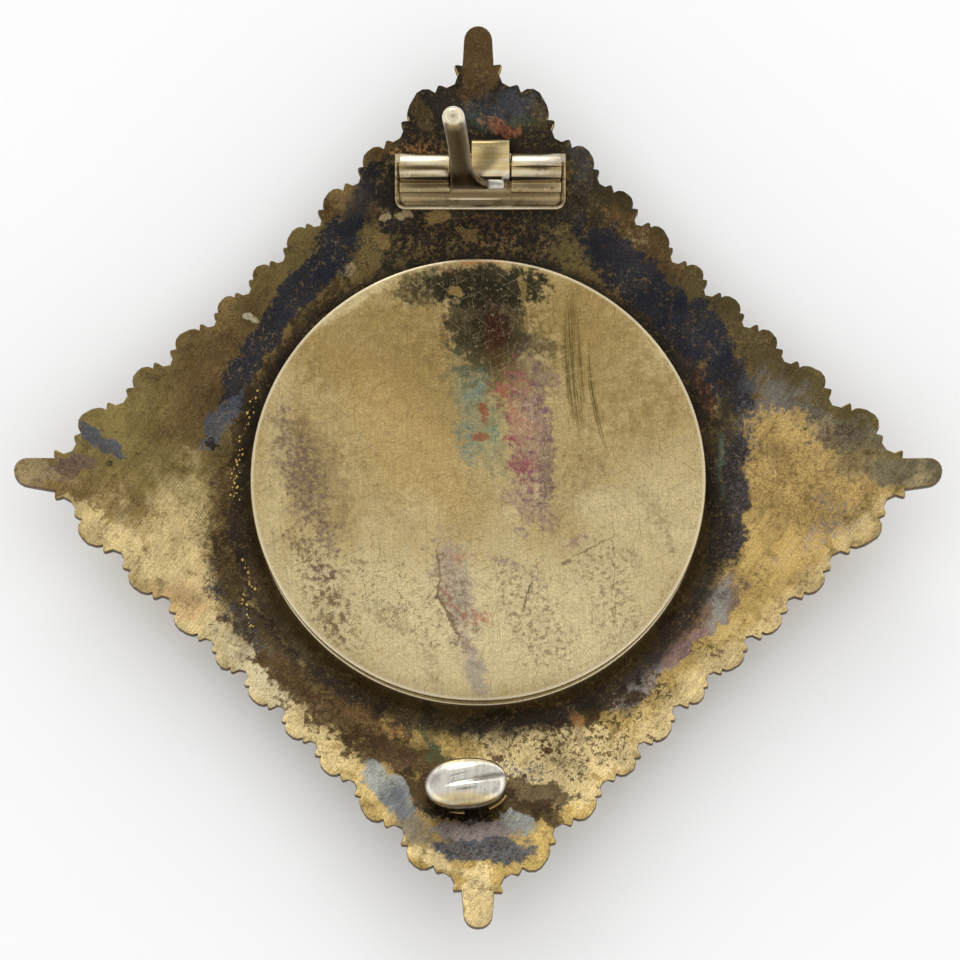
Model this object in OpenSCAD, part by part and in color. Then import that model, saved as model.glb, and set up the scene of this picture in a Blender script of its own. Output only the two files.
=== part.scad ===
// Breast star of a decoration, lying face down: a dished four-pointed star of ray bundles,
// a round cover plate on its back, a plain medallion under its front, and a hinged pin with its catch.
// Origin: on the surface it lies on, under the centre of the star. +Y is the arm with the hinge,
// and +Z is the back of the star. All sizes are in millimetres.

/* [Star body] */
// Distance from the centre of the star to each long tip
arm = 42; // [38:0.5:46]
// Radius of the hollow ball face that is the back of the star
dish_r = 118; // [108:1:132]
// Thickness of the star metal
body_t = 1.1; // [0.9:0.1:1.6]
// Half width of the finger at each long tip
finger_w = 1.3; // [1.1:0.05:1.6]
// Width of the blunt top of each small tooth between the ray ends
tooth_w = 0.22; // [0.1:0.02:0.3]
// How unevenly the ray ends were cut by hand
hand_cut = 0.16; // [0:0.02:0.25]
// Depth of the grooves between the rays of the front
groove_depth = 0.45; // [0.2:0.05:0.6]
// Width of the grooves between the rays of the front
groove_w = 1.5; // [0.8:0.1:1.8]

/* [Cover plate] */
// Diameter of the cover plate on the back
plate_d = 41.4; // [37:0.2:44]
// Height of the cover plate above the star at its edge
plate_h = 3; // [2.2:0.1:3.6]
// Thickness of the cover plate's top and wall
plate_t = 0.7; // [0.5:0.1:1]
// Bevel along the rim of the cover plate
plate_edge = 0.2; // [0.1:0.05:0.25]
// How far the wall stands back under the rim of the cover plate
wall_inset = 0.45; // [0.25:0.05:0.8]
// Height of the foot ring of the cover plate
foot_h = 0.45; // [0.3:0.05:0.7]
// How far the foot ring stays inside the rim of the cover plate
foot_inset = 0.1; // [0:0.05:0.2]

/* [Front medallion] */
// Diameter of the plain medallion on the front
medal_d = 38; // [32:0.5:42]
// Thickness of the medallion in its middle
medal_t = 1; // [0.8:0.1:2]
// Width of the raised rim that the star lies on
medal_rim_w = 2.4; // [1.5:0.1:4]
// Depth of the medallion's field behind its rim
medal_field = 0.6; // [0.3:0.1:0.8]

/* [Hinge] */
// Distance from the upper tip to the place under the axle of the hinge
hinge_from_tip = 12.6; // [11.5:0.1:13.5]
// Sideways place of the hinge
hinge_x = 0.2; // [-0.5:0.1:1]
// Length of the hinge plate across the star
hinge_w = 15.7; // [15:0.1:17]
// Thickness of the hinge plate
hinge_plate_t = 0.6; // [0.4:0.05:0.7]
// Reach of the hinge plate towards the centre of the star
hinge_front = 3.7; // [3.4:0.1:4.2]
// Reach of the hinge plate towards the tip
hinge_back = 1.5; // [1.3:0.1:2]
// Corner radius of the hinge plate
corner_r = 1; // [0.7:0.1:1.4]
// Height of the lip round the front of the hinge plate
lip_h = 0.4; // [0.2:0.05:0.6]
// Thickness of the lip
lip_t = 0.4; // [0.3:0.05:0.5]
// How far the lip runs back along each end of the hinge plate
lip_l = 4.2; // [3.2:0.1:4.8]
// Outer diameter of the hinge barrels
barrel_d = 2.9; // [2.7:0.05:3.1]
// Length of each barrel
barrel_l = 4.6; // [4.2:0.1:4.9]
// Room between the two barrels for the root of the pin
gap_w = 5.6; // [5.4:0.05:5.8]
// Width of the metal that joins each barrel to the hinge plate
barrel_foot_w = 2.3; // [1.8:0.1:2.6]
// Distance from the axle to the seam before each barrel
seam_y = 0.95; // [0.85:0.05:1.1]
// Width of the seam between barrel and rail
seam_w = 0.24; // [0.15:0.01:0.35]
// Height of the rail's top above the axle
rail_top = 0.87; // [0.6:0.05:1]
// How far the seam's floor lies below the axle
seam_floor = 0.29; // [0:0.05:0.5]
// Depth from front to back of the rail before each barrel
rail_w = 1; // [0.7:0.1:1.2]
// Diameter of the axle wire
axle_d = 1.3; // [1.1:0.05:1.5]
// How far the axle wire stands out of each barrel
axle_proud = 0.15; // [0:0.05:0.3]
// Width of the stop leaf that bends over the axle
leaf_w = 3.2; // [2.6:0.1:3.3]
// Thickness of the stop leaf
leaf_t = 0.5; // [0.35:0.05:0.6]
// Reach of the stop leaf behind the axle
leaf_back = 2.7; // [2.4:0.1:3]
// Reach of the stop leaf before the axle
leaf_front = 0.3; // [0:0.05:0.4]

/* [Pin] */
// Diameter of the pin
pin_d = 1.9; // [1.6:0.05:2]
// How far the point of the closed pin reaches past the middle of the catch
point_past = 0.5; // [0:0.1:1.5]
// Length of the tapered point
point_l = 5; // [4:0.5:12]
// Diameter of the blunt end of the point
point_d = 0.5; // [0.3:0.05:0.8]
// How far the pin's left side stands in from the end of its tube
pin_inset = 0.02; // [0:0.02:0.2]
// Outer diameter of the tube at the pin's root
knuckle_d = 2.5; // [2.2:0.05:2.7]
// Height of the neck that joins the shoulder to the tube
neck_h = 0.9; // [0.6:0.1:1]
// Height of the square shoulder on the tube
shoulder_h = 2; // [1.7:0.1:2.6]
// Thickness of the shoulder
shoulder_t = 1; // [0.8:0.05:1.1]
// How far the shoulder stops short of the tube's right end
shoulder_inset = 0.6; // [0.2:0.1:1.2]
// Distance from the axle to the end of the flare above the shoulder
flare_l = 9; // [6:0.5:14]
// How far the end of the flare stands out round the pin
flare_step = 0.04; // [0.02:0.01:0.1]
// Angle of the standing pin above the closed pin, in degrees
open_angle = 78.4; // [60:0.2:80]

/* [Catch] */
// Distance from the lower tip to the middle of the catch
catch_from_tip = 13.3; // [12:0.1:14.5]
// Sideways place of the catch
catch_x = -1.1; // [-1.5:0.1:-0.6]
// Length of the catch across the star
catch_w = 7.2; // [6.6:0.1:8]
// Depth of the catch along the pin
catch_d = 4.1; // [3.6:0.1:4.6]
// Thickness of the metal of the catch
catch_t = 0.85; // [0.6:0.05:1]
// How far the two round bars of the catch run into each other
bar_merge = 0.2; // [0.1:0.05:0.3]
// How far the walls of the catch stand back under its bars
post_inset = 0.12; // [0.08:0.02:0.3]
// Room for the pin to slip in at the side of the catch
mouth_h = 1.7; // [1.5:0.05:1.9]

/* [Clearances] */
// Gap between pieces that are seated on each other
seat_gap = 0.03; // [0.02:0.01:0.06]
// Gap all round the axle in the pin's tube
run_gap = 0.05; // [0.03:0.01:0.08]
// Gap between the pin's root and the parts of the hinge round it
side_gap = 0.08; // [0.06:0.01:0.12]
// Height of the closed pin above the cover plate
pin_clear = 0.25; // [0.2:0.05:0.5]
// Gap over the closed pin in the catch
catch_clear = 0.15; // [0.1:0.05:0.25]

/* [Hidden] */

silver = [0.72, 0.63, 0.40];
pale_silver = [0.80, 0.73, 0.52];
bright_silver = [0.82, 0.80, 0.72];

// How far joined shapes run into each other, and how far a cut runs past what it cuts
weld = 0.1;
past = 1;

// Angle of the middle of the first side, and the turn from one side to the next
first_side = 45;
side_turn = 90;
// Rays from the middle of a side to the long tip, and the angle between neighbours
ray_steps = 5;
ray_angle = first_side / ray_steps;
// How far out each ray end lies, square to the side, as a share of the arm: from the middle of a
// side to the long tip
RAY_OUT = [0.683, 0.684, 0.688, 0.694, 0.703, 0.707];
// One row for each gap between two ray ends, counted from the middle of a side.
// The first four columns say where along the gap a feature lies, as a share of the way to the next
// ray end. The last five say how far it lies below a line over the ray ends, as a share of the arm.
GAPS = [
    [0.22, 0.31, 0.68, 0.76, 0.016, 0.011, 0.033, 0.011, 0.016],
    [0.22, 0.30, 0.63, 0.73, 0.016, 0.012, 0.032, 0.010, 0.018],
    [0.21, 0.32, 0.65, 0.74, 0.020, 0.014, 0.033, 0.012, 0.019],
    [0.19, 0.29, 0.62, 0.70, 0.023, 0.016, 0.037, 0.014, 0.023],
    [0.15, 0.23, 0.51, 0.57, 0.029, 0.024, 0.043, 0.021, 0.033]
];
function notch_in(g) = g[0];
function tooth_in(g) = g[1];
function tooth_out(g) = g[2];
function notch_out(g) = g[3];
function notch_in_drop(g) = g[4];
function tooth_in_drop(g) = g[5];
function cove_drop(g) = g[6];
function tooth_out_drop(g) = g[7];
function notch_out_drop(g) = g[8];
// Points on a quarter of a round ray end, on a hollow between teeth and on half a finger end
lobe_steps = 3;
cove_steps = 4;
finger_steps = 5;
// Numbers set aside for the unevenness of each side, of each half of it and of its hollows
side_seed = 20;
half_seed = 10;
cove_seed = 50;

function sag(r) = dish_r - sqrt(dish_r * dish_r - r * r);
function slope(r) = asin(r / dish_r);
function mix(a, b, t) = a + (b - a) * t;
// A fixed uneven value between -1 and 1 for each number
function uneven(i) = sin(i * 137.5 + 20 * sin(i * 73));

// Height of the deepest point of the hollow back
base_z = medal_t + seat_gap + body_t;
hinge_y = arm - hinge_from_tip;
hinge_tilt = slope(hinge_y);
catch_y = arm - catch_from_tip;
// Heights above that point. The closed pin clears the cover plate, and its tube clears the hinge plate
plate_top = sag(plate_d / 2) + plate_h;
knuckle_seat = hinge_plate_t + side_gap + knuckle_d / 2;
pin_z = max(plate_top + pin_clear + pin_d / 2, sag(hinge_y) + knuckle_seat * cos(hinge_tilt));
// Height of the axle above the star, square to the star, and its distance from the centre
axle_n = (pin_z - sag(hinge_y)) / cos(hinge_tilt);
axle_y = hinge_y - axle_n * sin(hinge_tilt);
pin_l = axle_y + catch_y + point_past;
// Half the length of the pin's tube, and the pin's place along it
tube_half = gap_w / 2 - side_gap;
pin_x = pin_inset + pin_d / 2 - tube_half;

// Outline of the star, worked out side by side. A point is [along the side, out from the centre].

function ray_along(j) = j < ray_steps
    ? RAY_OUT[j] * arm * tan(ray_angle * j)
    : arm * sqrt(0.5);
function gap_w_at(j) = ray_along(j + 1) - ray_along(j);
function line_pt(j, t, drop) = [
    mix(ray_along(j), ray_along(j + 1), t),
    (mix(RAY_OUT[j], RAY_OUT[j + 1], t) - drop) * arm
];

// The falling half of a round ray end, from its crest to the notch beside it
function lobe_fall(j, g) = [
    for (k = [0 : lobe_steps])
        let (a = 90 * k / lobe_steps)
        line_pt(j, notch_in(g) * sin(a), notch_in_drop(g) * (1 - cos(a)))
];
// The rising half of the next ray end, from its notch up to just before its crest
function lobe_rise(j, g) = [
    for (k = [0 : lobe_steps - 1])
        let (a = 90 - 90 * k / lobe_steps)
        line_pt(j, 1 - (1 - notch_out(g)) * sin(a), notch_out_drop(g) * (1 - cos(a)))
];
// The hollow between two teeth, with the blunt top of each tooth
function cove(j, g, extra) =
    let (half = tooth_w / 2 / gap_w_at(j), from = tooth_in(g) + half, to = tooth_out(g) - half)
    concat(
        [line_pt(j, tooth_in(g) - half, tooth_in_drop(g))],
        [
            for (k = [0 : cove_steps])
                let (
                    a = 180 * k / cove_steps,
                    t = mix(from, to, (1 - cos(a)) / 2),
                    edge = mix(tooth_in_drop(g), tooth_out_drop(g), (1 - cos(a)) / 2)
                )
                line_pt(j, t, edge + (cove_drop(g) + extra - edge) * sin(a))
        ],
        [line_pt(j, tooth_out(g) + half, tooth_out_drop(g))]
    );
// From one ray end to the next, moved by the unevenness that belongs to its number
function gap_pts(j, i) =
    let (g = GAPS[j], u = uneven(i) * hand_cut)
    [
        for (p = concat(
            lobe_fall(j, g),
            cove(j, g, uneven(i + cove_seed) * hand_cut / arm),
            j < ray_steps - 1 ? lobe_rise(j, g) : [line_pt(j, notch_out(g), notch_out_drop(g))]
        )) [p[0] + (p[0] > 0 ? u : 0), p[1] + u / 2]
    ];
function half_side(i) = [for (j = [0 : ray_steps - 1]) each gap_pts(j, i + j)];

// The round finger end, in the same coordinates as the side
function finger_end() = [
    for (k = [0 : finger_steps])
        let (
            a = 90 - 90 * k / finger_steps,
            x = finger_w * sin(a),
            y = arm - finger_w + finger_w * cos(a)
        )
        [(y - x) * sqrt(0.5), (y + x) * sqrt(0.5)]
];

function mirrored(pts) = [for (k = [len(pts) - 1 : -1 : 1]) [-pts[k][0], pts[k][1]]];
function side_pts(q) = concat(
    mirrored(concat(half_side(side_seed * q), finger_end())),
    half_side(side_seed * q + half_seed),
    [for (k = [0 : finger_steps - 1]) finger_end()[k]]
);
function turn_to_side(pts, a) = [
    for (p = pts) [p[1] * cos(a) - p[0] * sin(a), p[1] * sin(a) + p[0] * cos(a)]
];

module star_outline() {
    polygon([for (q = [0 : 3]) each turn_to_side(side_pts(q), first_side + side_turn * q)]);
}

module ball(r) {
    translate([0, 0, dish_r]) sphere(r, $fn = 360);
}

// One groove of the front, bent along the ball, from under the medallion to past the tips
module front_groove(turn) {
    r = dish_r + body_t;
    from = asin(medal_d / 4 / r);
    to = asin((arm + past) / r);
    rotate([0, 0, turn]) translate([0, 0, dish_r]) rotate([90, 0, 0]) rotate([0, 0, -90 + from])
        rotate_extrude(angle = to - from, $fn = 360)
            translate([r, 0]) polygon([
                [-groove_depth, 0],
                [groove_depth, -groove_w],
                [groove_depth, groove_w]
            ]);
}

module star_body() {
    color(silver) translate([0, 0, base_z]) difference() {
        intersection() {
            translate([0, 0, -body_t - past])
                linear_extrude(height = sag(arm) + body_t + 2 * past) star_outline();
            ball(dish_r + body_t);
        }
        ball(dish_r);
        for (k = [0 : 8 * ray_steps - 1]) front_groove(ray_angle * (k + 0.5));
    }
}

// Round box with a rim and a foot ring, its underside fitted to the hollow star
module back_plate() {
    r = plate_d / 2;
    wall = r - wall_inset;
    under = plate_top - plate_t;
    foot_r = r - foot_inset;
    foot_top = sag(r) + foot_h;
    color(pale_silver) translate([0, 0, base_z]) intersection() {
        rotate_extrude($fn = 180) polygon([
            [0, plate_top],
            [r - plate_edge, plate_top],
            [r, plate_top - plate_edge],
            [r, under + plate_edge],
            [r - plate_edge, under],
            [wall, under],
            [wall, foot_top],
            [foot_r, foot_top],
            [foot_r, 0],
            [wall - plate_t, 0],
            [wall - plate_t, under],
            [0, under]
        ]);
        ball(dish_r - seat_gap);
    }
}

module front_medallion() {
    r = medal_d / 2;
    color(pale_silver) difference() {
        cylinder(d = medal_d, h = base_z + sag(r), $fn = 180);
        translate([0, 0, base_z]) ball(dish_r + body_t + seat_gap);
        translate([0, 0, -past]) cylinder(r = r - medal_rim_w, h = past + medal_field, $fn = 180);
    }
}

// Places its children in the hinge's own frame: X along the axle, Z square to the star, origin on the axle
module at_hinge() {
    translate([hinge_x, hinge_y, base_z + sag(hinge_y)]) rotate([hinge_tilt, 0, 0])
        translate([0, 0, axle_n]) children();
}

// A rod along X from one place to another
module rod(from, to, d, sides) {
    translate([from, 0, 0]) rotate([0, 90, 0]) cylinder(d = d, h = to - from, $fn = sides);
}

// A block from one corner to the other
module block(a, b) {
    translate(a) cube(b - a);
}

// Plate with round front corners, from its front edge to its back edge
module corner_plate(w, front, back, corner, h) {
    linear_extrude(height = h) union() {
        for (s = [-1, 1]) translate([s * (w / 2 - corner), -front + corner]) circle(corner, $fn = 48);
        translate([-w / 2 + corner, -front]) square([w - 2 * corner, front + back]);
        translate([-w / 2, -front + corner]) square([w, front + back - corner]);
    }
}

// Plate with its lip. Its underside reaches below the hollow star at the corners, and is fitted there
module hinge_plate() {
    sink = 2 * sag(hinge_w / 2);
    translate([0, 0, -axle_n]) difference() {
        translate([0, 0, -sink])
            corner_plate(hinge_w, hinge_front, hinge_back, corner_r, sink + hinge_plate_t + lip_h);
        translate([0, 0, hinge_plate_t]) corner_plate(
            hinge_w - 2 * lip_t, hinge_front - lip_t, hinge_back + past, corner_r - lip_t, lip_h + past
        );
        translate([-hinge_w, -hinge_front + lip_l, hinge_plate_t])
            cube([2 * hinge_w, hinge_w, lip_h + past]);
    }
}

// One barrel with its foot, and the rail that a seam parts from it
module barrel(side) {
    inner = gap_w / 2;
    lo = side > 0 ? inner : -inner - barrel_l;
    hi = lo + barrel_l;
    floor = hinge_plate_t - axle_n - weld;
    foot = barrel_foot_w / 2;
    rail_y = -seam_y - seam_w;
    difference() {
        union() {
            rod(lo, hi, barrel_d, 64);
            block([lo, -foot, floor], [hi, foot, 0]);
            block([lo, rail_y - rail_w, floor], [hi, rail_y, rail_top]);
            block([lo, rail_y - weld, floor], [hi, -foot + weld, -seam_floor]);
        }
        block([lo - past, rail_y, -seam_floor], [hi + past, -seam_y, barrel_d]);
        rod(lo - past, hi + past, axle_d, 48);
    }
}

// Leaf that rises behind the axle and bends over it
module stop_leaf() {
    left = tube_half - leaf_w;
    under = knuckle_d / 2 + side_gap;
    block([left, leaf_back - leaf_t, -axle_n], [tube_half, leaf_back, under + leaf_t]);
    block([left, -leaf_front, under], [tube_half, leaf_back, under + leaf_t]);
    block([left, 0, -axle_n], [tube_half, leaf_back, hinge_plate_t - axle_n]);
}

module hinge_base() {
    color(bright_silver) intersection() {
        at_hinge() {
            hinge_plate();
            barrel(-1);
            barrel(1);
            stop_leaf();
        }
        translate([0, 0, base_z]) ball(dish_r - seat_gap);
    }
}

module hinge_axle() {
    half = gap_w / 2 + barrel_l + axle_proud;
    color(bright_silver) at_hinge() rod(-half, half, axle_d, 48);
}

// The pin standing straight up from its axle
module pin_shape() {
    r = pin_d / 2;
    front = axle_n - hinge_plate_t - side_gap;
    left = pin_x - r;
    right = tube_half - shoulder_inset;
    straight_l = pin_l - point_l;
    difference() {
        union() {
            rod(-tube_half, tube_half, knuckle_d, 64);
            translate([pin_x, 0, flare_l - weld])
                cylinder(r = r, h = straight_l - flare_l + weld, $fn = 48);
            translate([pin_x, 0, straight_l]) cylinder(r1 = r, r2 = point_d / 2, h = point_l, $fn = 48);
            block([left, -front, 0], [right, 0, neck_h]);
            block([left, -front, 0], [right, -front + shoulder_t, shoulder_h]);
            hull() {
                block([left, -front, shoulder_h - weld], [right, -front + shoulder_t, shoulder_h]);
                translate([pin_x, 0, flare_l - weld]) cylinder(r = r + flare_step, h = weld, $fn = 32);
            }
        }
        rod(-gap_w, gap_w, axle_d + 2 * run_gap, 48);
    }
}

module pin() {
    color(silver) at_hinge() rotate([90 - open_angle - hinge_tilt, 0, 0]) pin_shape();
}

// Rectangle with round corners, round the origin
module round_rectangle(w, d, r) {
    for (x = [-1, 1], y = [-1, 1]) translate([x * (w / 2 - r), y * (d / 2 - r)]) circle(r, $fn = 48);
    square([w - 2 * r, d], center = true);
    square([w, d - 2 * r], center = true);
}

// Two round bars side by side on a hollow post that is closed on its left and has a mouth on its right
module catch() {
    bar_r = (catch_d + bar_merge) / 4;
    bar_x = catch_w / 2 - bar_r;
    bar_y = catch_d / 2 - bar_r;
    under = pin_z + pin_d / 2 + catch_clear;
    bar_z = under + catch_t - bar_r;
    floor = sag(catch_y) + catch_t / 2;
    wall = catch_w / 2 - catch_t;
    color(bright_silver) translate([catch_x, -catch_y, base_z]) intersection() {
        difference() {
            union() {
                for (s = [-1, 1]) translate([0, s * bar_y, bar_z]) {
                    rod(-bar_x, bar_x, 2 * bar_r, 48);
                    for (e = [-1, 1]) translate([e * bar_x, 0, 0]) sphere(bar_r, $fn = 48);
                }
                linear_extrude(height = bar_z) round_rectangle(
                    catch_w - 2 * post_inset, catch_d - 2 * post_inset, bar_r - post_inset
                );
            }
            block([-wall, -catch_d, floor], [wall, catch_d, under]);
            block([0, -catch_d, floor], [catch_w, catch_d, floor + mouth_h]);
        }
        translate([-catch_x, catch_y, 0]) ball(dish_r - seat_gap);
    }
}

star_body();
back_plate();
front_medallion();
hinge_base();
hinge_axle();
pin();
catch();
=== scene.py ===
# %% [markdown]
# # A breast star, seen from its back
# The star lies face down on a table, with its long pin standing open. It is a dished piece of silver
# cut into ray bundles, with a round cover plate, a hinge with its pin, and a hook catch. The measured
# solids come in first, because every piece here is made round them and keeps their size and place.

from math import asin, atan2, cos, exp, hypot, pi, radians, sin, sqrt

import bmesh
import bpy
from mathutils import Matrix, Vector
from mathutils.geometry import delaunay_2d_cdt
from mathutils.kdtree import KDTree


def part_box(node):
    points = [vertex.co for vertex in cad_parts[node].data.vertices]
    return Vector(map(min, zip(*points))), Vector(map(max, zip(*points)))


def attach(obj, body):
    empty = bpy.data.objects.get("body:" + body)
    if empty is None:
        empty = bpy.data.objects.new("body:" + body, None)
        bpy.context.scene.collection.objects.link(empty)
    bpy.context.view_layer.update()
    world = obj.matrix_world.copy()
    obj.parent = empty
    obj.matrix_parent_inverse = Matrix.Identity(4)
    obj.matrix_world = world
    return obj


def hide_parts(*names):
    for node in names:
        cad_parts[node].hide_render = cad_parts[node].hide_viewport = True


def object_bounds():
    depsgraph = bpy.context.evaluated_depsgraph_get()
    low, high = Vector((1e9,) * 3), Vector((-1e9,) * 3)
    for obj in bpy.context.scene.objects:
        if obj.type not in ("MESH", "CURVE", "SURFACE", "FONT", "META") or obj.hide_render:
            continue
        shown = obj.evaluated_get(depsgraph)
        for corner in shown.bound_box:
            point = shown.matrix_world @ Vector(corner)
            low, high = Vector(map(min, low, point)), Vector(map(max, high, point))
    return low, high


MM = 0.001
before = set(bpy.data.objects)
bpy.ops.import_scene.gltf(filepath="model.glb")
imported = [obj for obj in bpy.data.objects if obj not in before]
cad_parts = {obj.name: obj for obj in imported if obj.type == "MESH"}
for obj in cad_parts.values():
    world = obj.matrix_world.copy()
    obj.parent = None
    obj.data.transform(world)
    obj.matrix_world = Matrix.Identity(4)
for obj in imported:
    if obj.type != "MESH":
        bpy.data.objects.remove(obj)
cad_low, cad_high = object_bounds()
print("solids:", sorted(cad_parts))

# %% [markdown]
# ## The camera
# The photograph was taken from almost straight above, a little towards the lower tip, with a long
# lens. The camera's place comes from a fit to the forty ray ends: its tilt, its distance, and how far
# the middle of the picture lies from the deepest point of the hollow back.

# %% Set up the camera
CAMERA_TILT = radians(13.75)
CAMERA_DISTANCE = 710
PICTURE_PX = 960
PX_PER_MM = 10.938
MIDDLE_RIGHT = 0.17
MIDDLE_UP = 0.96
SENSOR_W = 36
BASE_Z = 2.13
DISH_R = 118

camera_back = Vector((0, -sin(CAMERA_TILT), cos(CAMERA_TILT)))
picture_up = Vector((0, cos(CAMERA_TILT), sin(CAMERA_TILT)))
picture_middle = Vector((MIDDLE_RIGHT, 0, BASE_Z)) + MIDDLE_UP * picture_up

lens = bpy.data.cameras.new("camera")
lens.sensor_width = SENSOR_W
lens.lens = SENSOR_W * PX_PER_MM * CAMERA_DISTANCE / PICTURE_PX
lens.clip_start = 0.05
camera = bpy.data.objects.new("camera", lens)
camera.location = (picture_middle + CAMERA_DISTANCE * camera_back) * MM
camera.rotation_euler = (CAMERA_TILT, 0, 0)
bpy.context.scene.collection.objects.link(camera)
bpy.context.scene.camera = camera
print("lens of", round(lens.lens, 1), "mm")

# %% [markdown]
# ## Wiring
# Blender's materials and its Geometry Nodes are both trees of small nodes. One helper adds a node,
# sets its values and joins it to what feeds it, so that the recipes below stay short enough to read.

# %% A helper that adds nodes and joins them
class Wiring:
    def __init__(self, tree):
        self.tree = tree

    def put(self, kind, feeds=(), **settings):
        """Adds a node. Each feed is a place among its inputs, and the value or socket for it."""
        node = self.tree.nodes.new(kind)
        for name, value in settings.items():
            setattr(node, name, value)
        for place, value in dict(feeds).items():
            if isinstance(value, bpy.types.NodeSocket):
                self.tree.links.new(value, node.inputs[place])
            else:
                node.inputs[place].default_value = value
        return node

    def sum(self, operation, *values, clamp=False):
        """One step of arithmetic, such as ADD or SQRT."""
        node = self.put("ShaderNodeMath", enumerate(values), operation=operation, use_clamp=clamp)
        return node.outputs[0]

    def vector(self, operation, *values):
        """One step of arithmetic on places or directions."""
        node = self.put("ShaderNodeVectorMath", enumerate(values), operation=operation)
        return node.outputs["Value" if operation in ("LENGTH", "DOT_PRODUCT") else "Vector"]

    def parts(self, place):
        """The three parts of a place or direction."""
        return self.put("ShaderNodeSeparateXYZ", {0: place}).outputs

    def ease(self, value, start, end, low=0.0, high=1.0):
        """Turns start..end softly into low..high."""
        feeds = {"Value": value, "From Min": start, "From Max": end, "To Min": low, "To Max": high}
        node = self.put("ShaderNodeMapRange", feeds, interpolation_type="SMOOTHSTEP")
        return node.outputs["Result"]


# %% A helper that starts a Geometry Nodes tree with named inputs
def start_tree(name, sizes):
    tree = bpy.data.node_groups.new(name, "GeometryNodeTree")
    tree.interface.new_socket("Geometry", in_out="INPUT", socket_type="NodeSocketGeometry")
    for label, (kind, value) in sizes.items():
        socket = tree.interface.new_socket(label, in_out="INPUT", socket_type="NodeSocket" + kind)
        if value is not None:
            socket.default_value = value
    tree.interface.new_socket("Geometry", in_out="OUTPUT", socket_type="NodeSocketGeometry")
    return Wiring(tree), tree.nodes.new("NodeGroupInput").outputs


def end_tree(wiring, geometry, finish):
    real = wiring.put("GeometryNodeRealizeInstances", {0: geometry})
    coated = wiring.put("GeometryNodeSetMaterial", {"Geometry": real.outputs[0], "Material": finish})
    wiring.put("NodeGroupOutput", {0: coated.outputs[0]})


def run_tree(name, mesh, wiring, values):
    """Runs the tree on a mesh and returns the plain mesh that comes out."""
    carrier = bpy.data.objects.new(name, mesh)
    bpy.context.scene.collection.objects.link(carrier)
    step = carrier.modifiers.new(name, "NODES")
    step.node_group = wiring.tree
    for item in wiring.tree.interface.items_tree:
        if item.in_out == "INPUT" and item.name in values:
            step[item.identifier] = values[item.name]
    bpy.context.view_layer.update()
    made = carrier.evaluated_get(bpy.context.evaluated_depsgraph_get())
    result = bpy.data.meshes.new_from_object(made)
    carrier.modifiers.remove(step)
    bpy.data.objects.remove(carrier)
    return result


# %% [markdown]
# ## Making a piece
# The back of the star is part of a ball, so what stands on it needs the height of that ball at its
# place. A shape begins as points in millimetres, or as a path to sweep along, and ends as a piece that
# rides on its body and takes the place of a measured solid.

# %% Helpers that make a piece of metal
def sag(radius):
    """How much higher the star's back is here than in its middle."""
    return DISH_R - sqrt(DISH_R ** 2 - radius ** 2)


def back_height(x, y):
    """Height of the star's back above the table."""
    return BASE_Z + sag(hypot(x, y))


def between(a, b, share):
    return a + (b - a) * share


def metal_mesh(name, points, faces):
    """A mesh from points in millimetres."""
    mesh = bpy.data.meshes.new(name)
    mesh.from_pydata([Vector(p) * MM for p in points], [], faces)
    mesh.update()
    return mesh


def path_mesh(name, paths):
    """Paths through points in millimetres, as a mesh of edges."""
    points = []
    edges = []
    for path in paths:
        edges += [(len(points) + i, len(points) + i + 1) for i in range(len(path) - 1)]
        points += path
    mesh = bpy.data.meshes.new(name)
    mesh.from_pydata([Vector(p) * MM for p in points], edges, [])
    return mesh


def hand_in(name, mesh, body, finish, stands_for=None, sharp=40):
    """Makes the mesh a piece that rides on a body and may stand for a measured solid."""
    mesh.materials.clear()
    mesh.materials.append(finish)
    mesh.polygons.foreach_set("use_smooth", [True] * len(mesh.polygons))
    mesh.set_sharp_from_angle(angle=radians(sharp))
    piece = bpy.data.objects.new(name, mesh)
    bpy.context.scene.collection.objects.link(piece)
    if stands_for:
        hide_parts(stands_for)
    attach(piece, body)
    print(name, "has", len(mesh.polygons), "faces")
    return piece


def joined(name, forms, meshes=()):
    """Joins bmesh forms, which it frees, and finished meshes into one mesh."""
    whole = bmesh.new()
    for form in forms:
        part = bpy.data.meshes.new("part")
        form.to_mesh(part)
        form.free()
        whole.from_mesh(part)
        bpy.data.meshes.remove(part)
    for part in meshes:
        whole.from_mesh(part)
    mesh = bpy.data.meshes.new(name)
    whole.to_mesh(mesh)
    whole.free()
    return mesh


print("at the tip of an arm the back is", round(back_height(0, cad_high.y / MM), 2), "mm high")

# %% [markdown]
# ## Toned silver
# Old gilt silver darkens unevenly: gold shows where hands polished it, and sulphur turns the rest brown,
# blue-black and mauve, with ragged edges and a fine grain. Each finish here is a metal with a base
# tone, and stains are laid over it one after another, each at its own place in millimetres.
# Every place comes from Object coordinates, so the stains stay on the metal in any view.

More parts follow.
